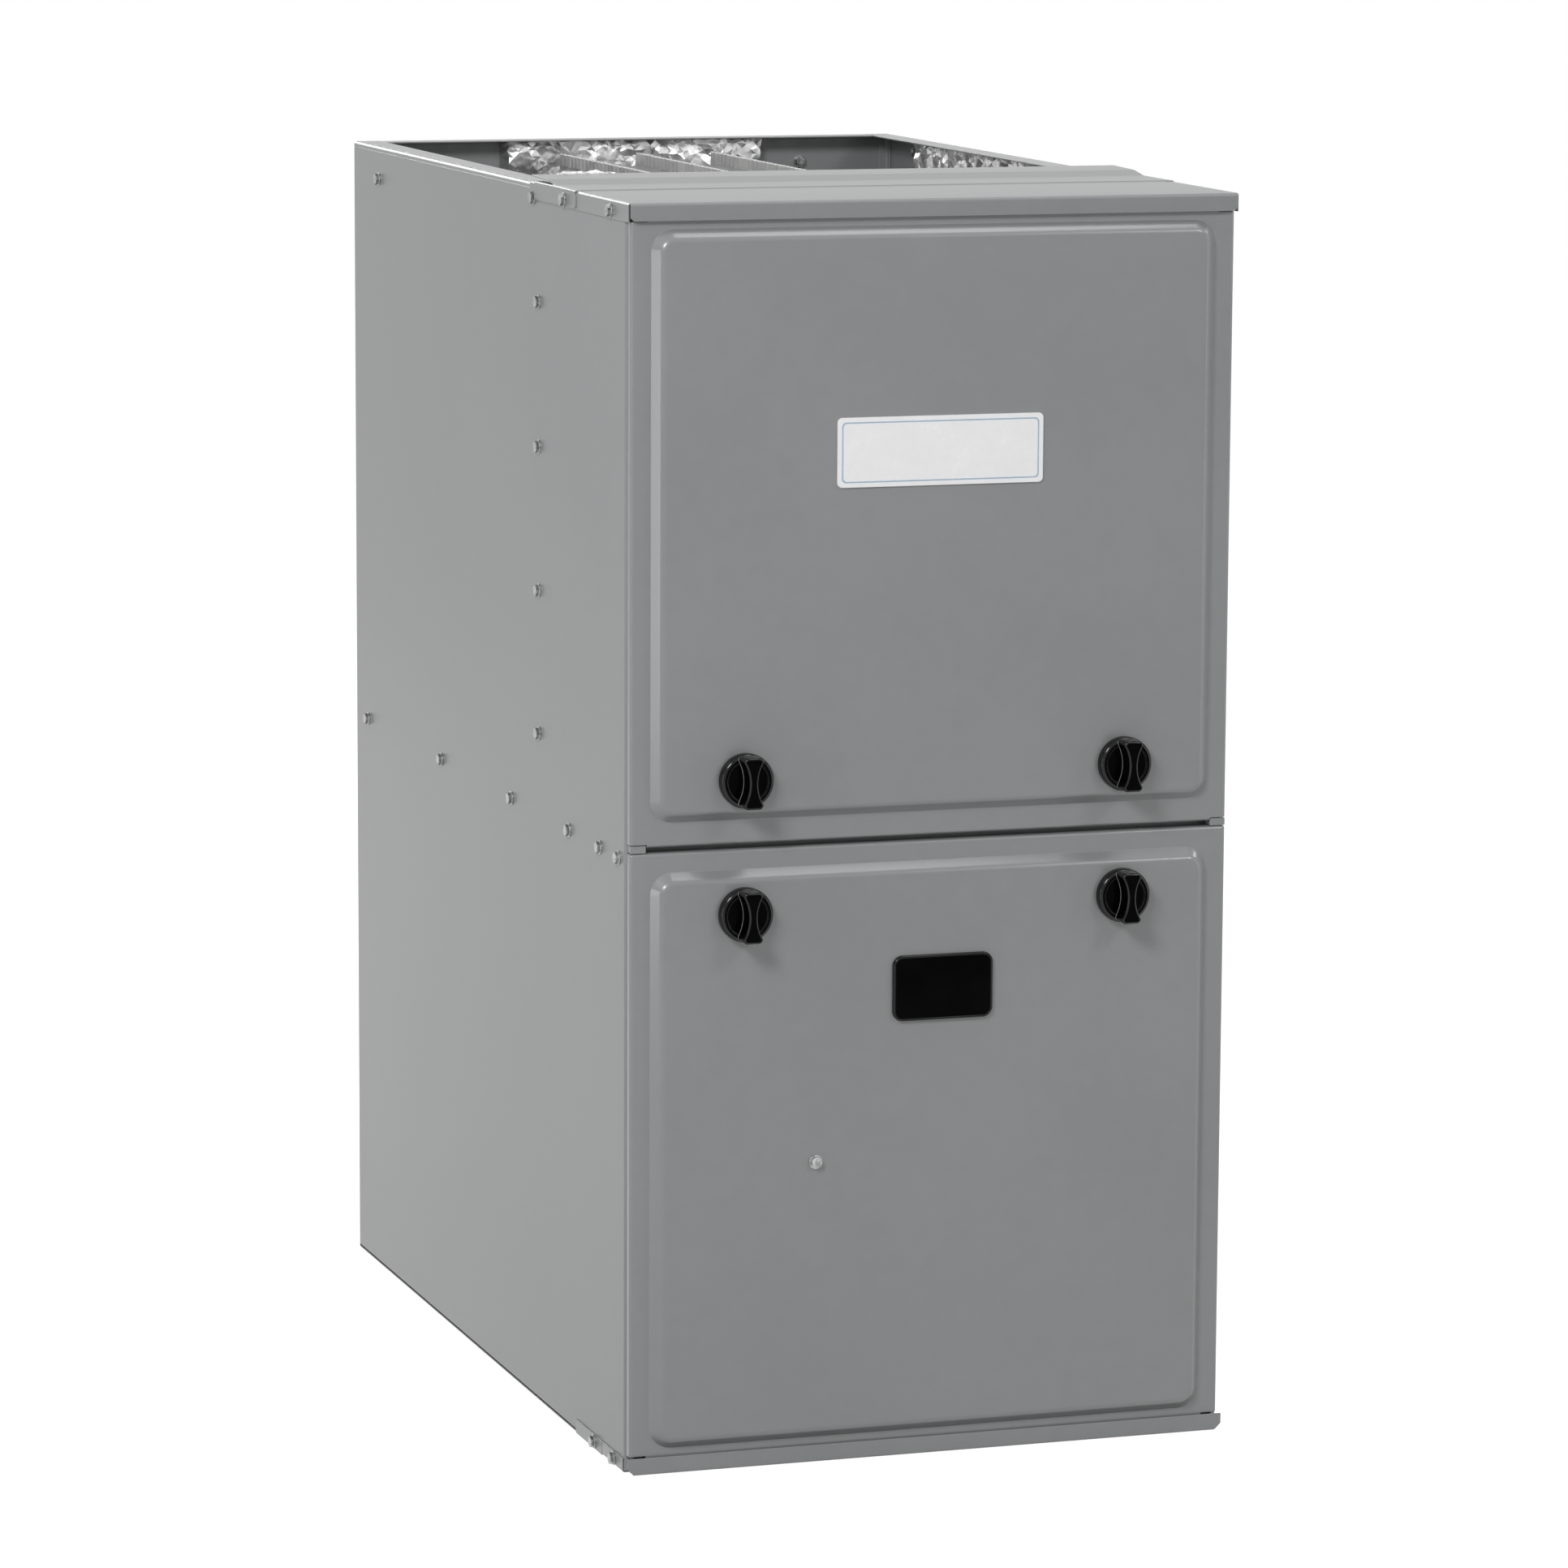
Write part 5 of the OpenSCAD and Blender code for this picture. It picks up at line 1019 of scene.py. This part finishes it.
def blanket(u, v, depth, put, seed, coarse=6.0, fine=2.2, pitch=4.0, roll=14.0, hem=True):
    """A foil-faced blanket over u and v: put(u, v, height) gives its place. Without a hem its
    top edge keeps its thickness instead of turning back to the wall."""
    random.seed(seed)
    sheet = fresh()
    across, up = int((u[1] - u[0]) / pitch), int((v[1] - v[0]) / pitch)
    grid = []
    for j in range(up + 1):
        row = []
        for i in range(across + 1):
            inside = 0 < i < across and 0 < j < (up if hem else up + 1)
            jitter = pitch * 0.3 if inside else 0.0
            pu = u[0] + (u[1] - u[0]) * i / across + random.uniform(-jitter, jitter)
            pv = min(v[0] + (v[1] - v[0]) * j / up + random.uniform(-jitter, jitter), v[1])
            edge = min(pu - u[0], u[1] - pu, pv - v[0], v[1] - pv if hem else roll)
            crown = depth * min(1.0, (max(edge, 0.0) / roll) ** 0.5)
            folds = crumple(pu, pv, seed, coarse, fine) * min(1.0, 2 * edge / roll)
            high = min(max(crown + folds, THIN), depth)
            row.append(sheet.verts.new(put(pu, pv, high if inside else FLAT_RIM)))
        grid.append(row)
    for j in range(up):
        for i in range(across):
            a, b, c, d = grid[j][i], grid[j][i + 1], grid[j + 1][i + 1], grid[j + 1][i]
            if (i + j) % 2:
                sheet.faces.new((a, b, c))
                sheet.faces.new((a, c, d))
            else:
                sheet.faces.new((a, b, d))
                sheet.faces.new((b, c, d))
    edge_loop = grid[0] + [row[-1] for row in grid[1:]] + list(reversed(grid[-1][:-1]))
    edge_loop += [row[0] for row in reversed(grid[1:-1])]
    backing = [sheet.verts.new(put(*spot, 0.0)) for spot in rim_places(u, v, across, up)]
    bridge(sheet, edge_loop, backing)
    sheet.faces.new(list(reversed(backing)))
    return sheet


def rim_places(u, v, across, up):
    """The grid's outer places, anticlockwise from its first corner."""
    places = [(u[0] + (u[1] - u[0]) * i / across, v[0]) for i in range(across + 1)]
    places += [(u[1], v[0] + (v[1] - v[0]) * j / up) for j in range(1, up + 1)]
    places += [(u[0] + (u[1] - u[0]) * i / across, v[1]) for i in range(across - 1, -1, -1)]
    places += [(u[0], v[0] + (v[1] - v[0]) * j / up) for j in range(up - 1, 0, -1)]
    return places


# %% Liners behind the cells and along the sides
FOIL_Z, FOIL_X, FOIL_Y = (454.0, 887.5), (-104, 114), (-116.5, 298)
BACK_THICK, SIDE_THICK, FOIL_SHARP = 11.6, 10.6, 9
WALL_X, WALL_Y = HALF - GAUGE, BACK - GAUGE
GLUE = 0.2
liner = {"roll": 3.5, "hem": False}
back_sheet = blanket(FOIL_X, FOIL_Z, BACK_THICK, lambda u, v, h: (u, WALL_Y - GLUE - h, v),
                     3, **liner)
back_liner = piece(back_sheet, "foil_liner_back", "cabinet", "foil", ["foil_back"],
                   sharp=FOIL_SHARP)

side_sheets = blanket(FOIL_Y, FOIL_Z, SIDE_THICK, lambda u, v, h: (-WALL_X + GLUE + h, u, v),
                      5, **liner)
join(side_sheets, blanket(FOIL_Y, FOIL_Z, SIDE_THICK, lambda u, v, h: (WALL_X - GLUE - h, u, v),
                          8, **liner))
side_liner = piece(side_sheets, "foil_liner_sides", "cabinet", "foil", ["foil_sides"],
                   sharp=FOIL_SHARP)

# %% [markdown]
# ## A roll of foil on the plate's edge
# At the left a little foil is rolled up and lies on the rear edge of the top plate. A cloth
# simulation could roll a sheet, but its layers would not show, so it is a tube whose radius and
# middle change along X, crumpled like the sheets.

# %% Foil rolled over beside the top plate
TUBE_SIDES, TUBE_PITCH, TUBE_FLAT = 22, 2.6, 1.4
CUFF_X, CUFF_Y, CUFF_Z, CUFF_SHIFT = (-206, -157), -121, 893.5, 5.5


def roll_of_foil(x, radius, middle, seed):
    """A crumpled tube of foil along X; radius and middle give its size and place at each x."""
    tube = fresh()
    steps = int((x[1] - x[0]) / TUBE_PITCH)
    loops = []
    for i in range(steps + 1):
        share = i / steps
        u = x[0] + (x[1] - x[0]) * share
        closing = min(1.0, 6 * share, 6 * (1 - share)) ** 0.5 * 0.9 + 0.1
        y, z = middle(share)
        loop = []
        for k in range(TUBE_SIDES):
            angle = 2 * math.pi * k / TUBE_SIDES
            bent = crumple(u * 2, angle * 30, seed, 0.9, 0.5)
            r = max(radius(share) * closing * (1 + bent), 0.3)
            spot = (u, y + TUBE_FLAT * r * math.cos(angle), z + r * math.sin(angle))
            loop.append(tube.verts.new(spot))
        loops.append(loop)
    skin_over(tube, loops, capped=True)
    return tube


def cuff_radius(share):
    """Thick at the plate's corner, slim along its rear edge."""
    return 2.5 + 1.5 * max(0.0, 1 - (share / 0.42) ** 2)


def cuff_middle(share):
    """It starts on the plate's edge and moves back behind it."""
    return (CUFF_Y + CUFF_SHIFT * min(1.0, 2 * share), CUFF_Z)


cuff = roll_of_foil(CUFF_X, cuff_radius, cuff_middle, 21)
cuff_roll = piece(cuff, "foil_cuff", "cabinet", "foil", sharp=12)

# %% [markdown]
# ## Screws on the inner walls
# Two hexagon heads show inside the top opening, one on the back and one on the right. A head is a
# washer, a six-sided block and a shallow cap, so three short rods on one axis make it.

# %% Two inner screws
HEAD = ((4.9, 0.0, 1.0, 32), (3.6, 0.9, 3.9, 6), (2.9, 3.8, 4.3, 6))


def wall_screw(mesh, place, axis):
    """A hexagon head on a washer, pointing against an axis."""
    for radius, start, end, sides in HEAD:
        spot = list(place)
        spot["XYZ".index(axis)] -= (start + end) / 2
        rod_into(mesh, spot, radius, end - start, axis, sides)


inner_screws = fresh()
wall_screw(inner_screws, (146, BACK - 1.2, 868), "Y")
wall_screw(inner_screws, (HALF - 1.2, 318, 878), "X")
piece(inner_screws, "inner_wall_screws", "cabinet", "zinc", sharp=30)

# %% [markdown]
# ## Pads behind the doors
# A door carries a pad of glass wool with a foil face on its inner side. It could be a plain box,
# but handling creases the foil, so the same blanket makes it, with shallower folds.

# %% Door pads
PAD_HALF, PAD_THICK, PAD_Y = 197.0, 12.8, FACE_Y + 1.2
for which, pad_z, seed in (("upper", (520.5, 858.0), 11), ("lower", (30.0, 302.5), 13)):
    pad_sheet = blanket((-PAD_HALF, PAD_HALF), pad_z, PAD_THICK,
                        lambda u, v, h: (u, PAD_Y + h, v), seed, 2.5, 0.9, 8.0)
    lining = piece(pad_sheet, f"foil_pad_{which}", f"{which}_door", "foil", [f"{which}_pad"],
                   sharp=FOIL_SHARP)

# %% [markdown]
# ## Camera
# The view was solved from the cabinet's corners in the photograph: 4.9 m away, to the left of the
# middle and a little above the top. A long lens keeps the edges nearly parallel.

# %% Set the camera
PLACE = Vector((-1.51677, -4.63524, 1.19687))
YAW, PITCH, ROLL = 0.31793, 0.15671, 0.00507
# Focal length and image width in pixels of the photograph, sensor width in millimetres
FOCAL_PX, IMAGE_PX, SENSOR = 8088.3, 1932.0, 36.0
ahead = Vector((math.sin(YAW) * math.cos(PITCH), math.cos(YAW) * math.cos(PITCH), -math.sin(PITCH)))
level = Vector((math.cos(YAW), -math.sin(YAW), 0.0))
upright = level.cross(ahead)
right = level * math.cos(ROLL) + upright * math.sin(ROLL)
above = upright * math.cos(ROLL) - level * math.sin(ROLL)
lens_data = bpy.data.cameras.new("camera")
lens_data.sensor_width = SENSOR
lens_data.lens = FOCAL_PX / IMAGE_PX * SENSOR
lens_data.clip_end = 50.0
camera = in_scene("camera", lens_data)
turn = Matrix((right, above, -ahead)).transposed().to_4x4()
camera.matrix_world = Matrix.Translation(PLACE) @ turn
bpy.context.scene.camera = camera
print("lens:", round(lens_data.lens, 1), "mm")

# %% [markdown]
# ## Floor, light and background
# A product shot on white: a pale floor and two broad soft lights, upper left and upper right. A
# tall strip at each side and a panel above shine back from the slopes of the pressed doors, a
# small lamp at the right finds their upper corners, one overhead reaches into the opening and
# one behind lights the back. The background is white only for what looks at it straight or in
# a mirror, so it adds no glare to the enamel. The floor gets the same help and keeps the shadow.

# %% Floor
FLOOR_HALF, FLOOR_DROP, FLOOR_GLOW = 9.0, 0.0005, 0.88
floor_mesh = fresh()
bmesh.ops.create_grid(floor_mesh, x_segments=1, y_segments=1, size=FLOOR_HALF)
floor_data = data_of(floor_mesh, "floor")
floor = in_scene("floor", floor_data)
floor.location.z = -FLOOR_DROP

ground = Finish("floor_pale", specular_ior_level=0.1, roughness=0.9)
ground.finish(base_color=ground.blend(ground.noise(0.6), tone(196), tone(201)))
glow = ground.node("ShaderNodeEmission", None, {"Strength": ground.seen_directly() * FLOOR_GLOW})
own = Wire(ground, ground.shader.outputs[0])
floor_shader = ground.node("ShaderNodeAddShader", None, {0: own, 1: glow})
ground.plug(ground.tree.nodes["Material Output"].inputs["Surface"], floor_shader)
floor_data.materials.append(ground.material)
print("floor:", 2 * FLOOR_HALF, "m wide")

# %% World and lamps
FILL = 0.21
world = bpy.data.worlds.new("studio")
bpy.context.scene.world = world
world.use_nodes = True
studio = Graph(world.node_tree)
sky = world.node_tree.nodes["Background"]
sky.inputs["Color"].default_value = (1, 1, 1, 1)
studio.plug(sky.inputs["Strength"], studio.seen_directly() * (1 - FILL) + FILL)


def lamp(name, place, aim, size, watts):
    """A soft light, size wide and high, aimed at a point."""
    data = bpy.data.lights.new(name, "AREA")
    data.energy = watts
    data.shape = "RECTANGLE"
    data.size, data.size_y = size
    thing = in_scene(name, data)
    thing.location = place
    thing.rotation_euler = (Vector(aim) - Vector(place)).to_track_quat("-Z", "Y").to_euler()
    print("lamp", name, watts, "W")


# Name, place, aim, size and power
lamp("key", (-1.9, -2.2, 2.4), (0, -0.3, 0.65), (0.8, 0.8), 51)
lamp("left_strip", (-2.8, -1.2, 0.5), (-0.2, -0.36, 0.5), (0.25, 1.3), 7.5)
lamp("slope_top", (0.68, -0.6, 3.1), (0, -0.36, 0.8), (0.9, 0.8), 9.5)
lamp("right_high", (1.9, -2.7, 2.7), (0, -0.3, 0.7), (0.7, 0.7), 21)
lamp("right_strip", (2.45, -1.8, 0.65), (0.2, -0.36, 0.5), (0.3, 1.3), 5)
lamp("back_fill", (-0.7, 3.4, 1.9), (0, 0.3, 0.5), (1.0, 1.0), 24)
lamp("overhead", (0.3, 0.2, 2.9), (0, 0.2, 0.8), (1.2, 1.2), 3)
lamp("right_corner", (2.4, -0.3, 2.05), (0.2, -0.36, 0.86), (0.35, 0.35), 5)
bpy.context.scene.view_settings.view_transform = "Standard"
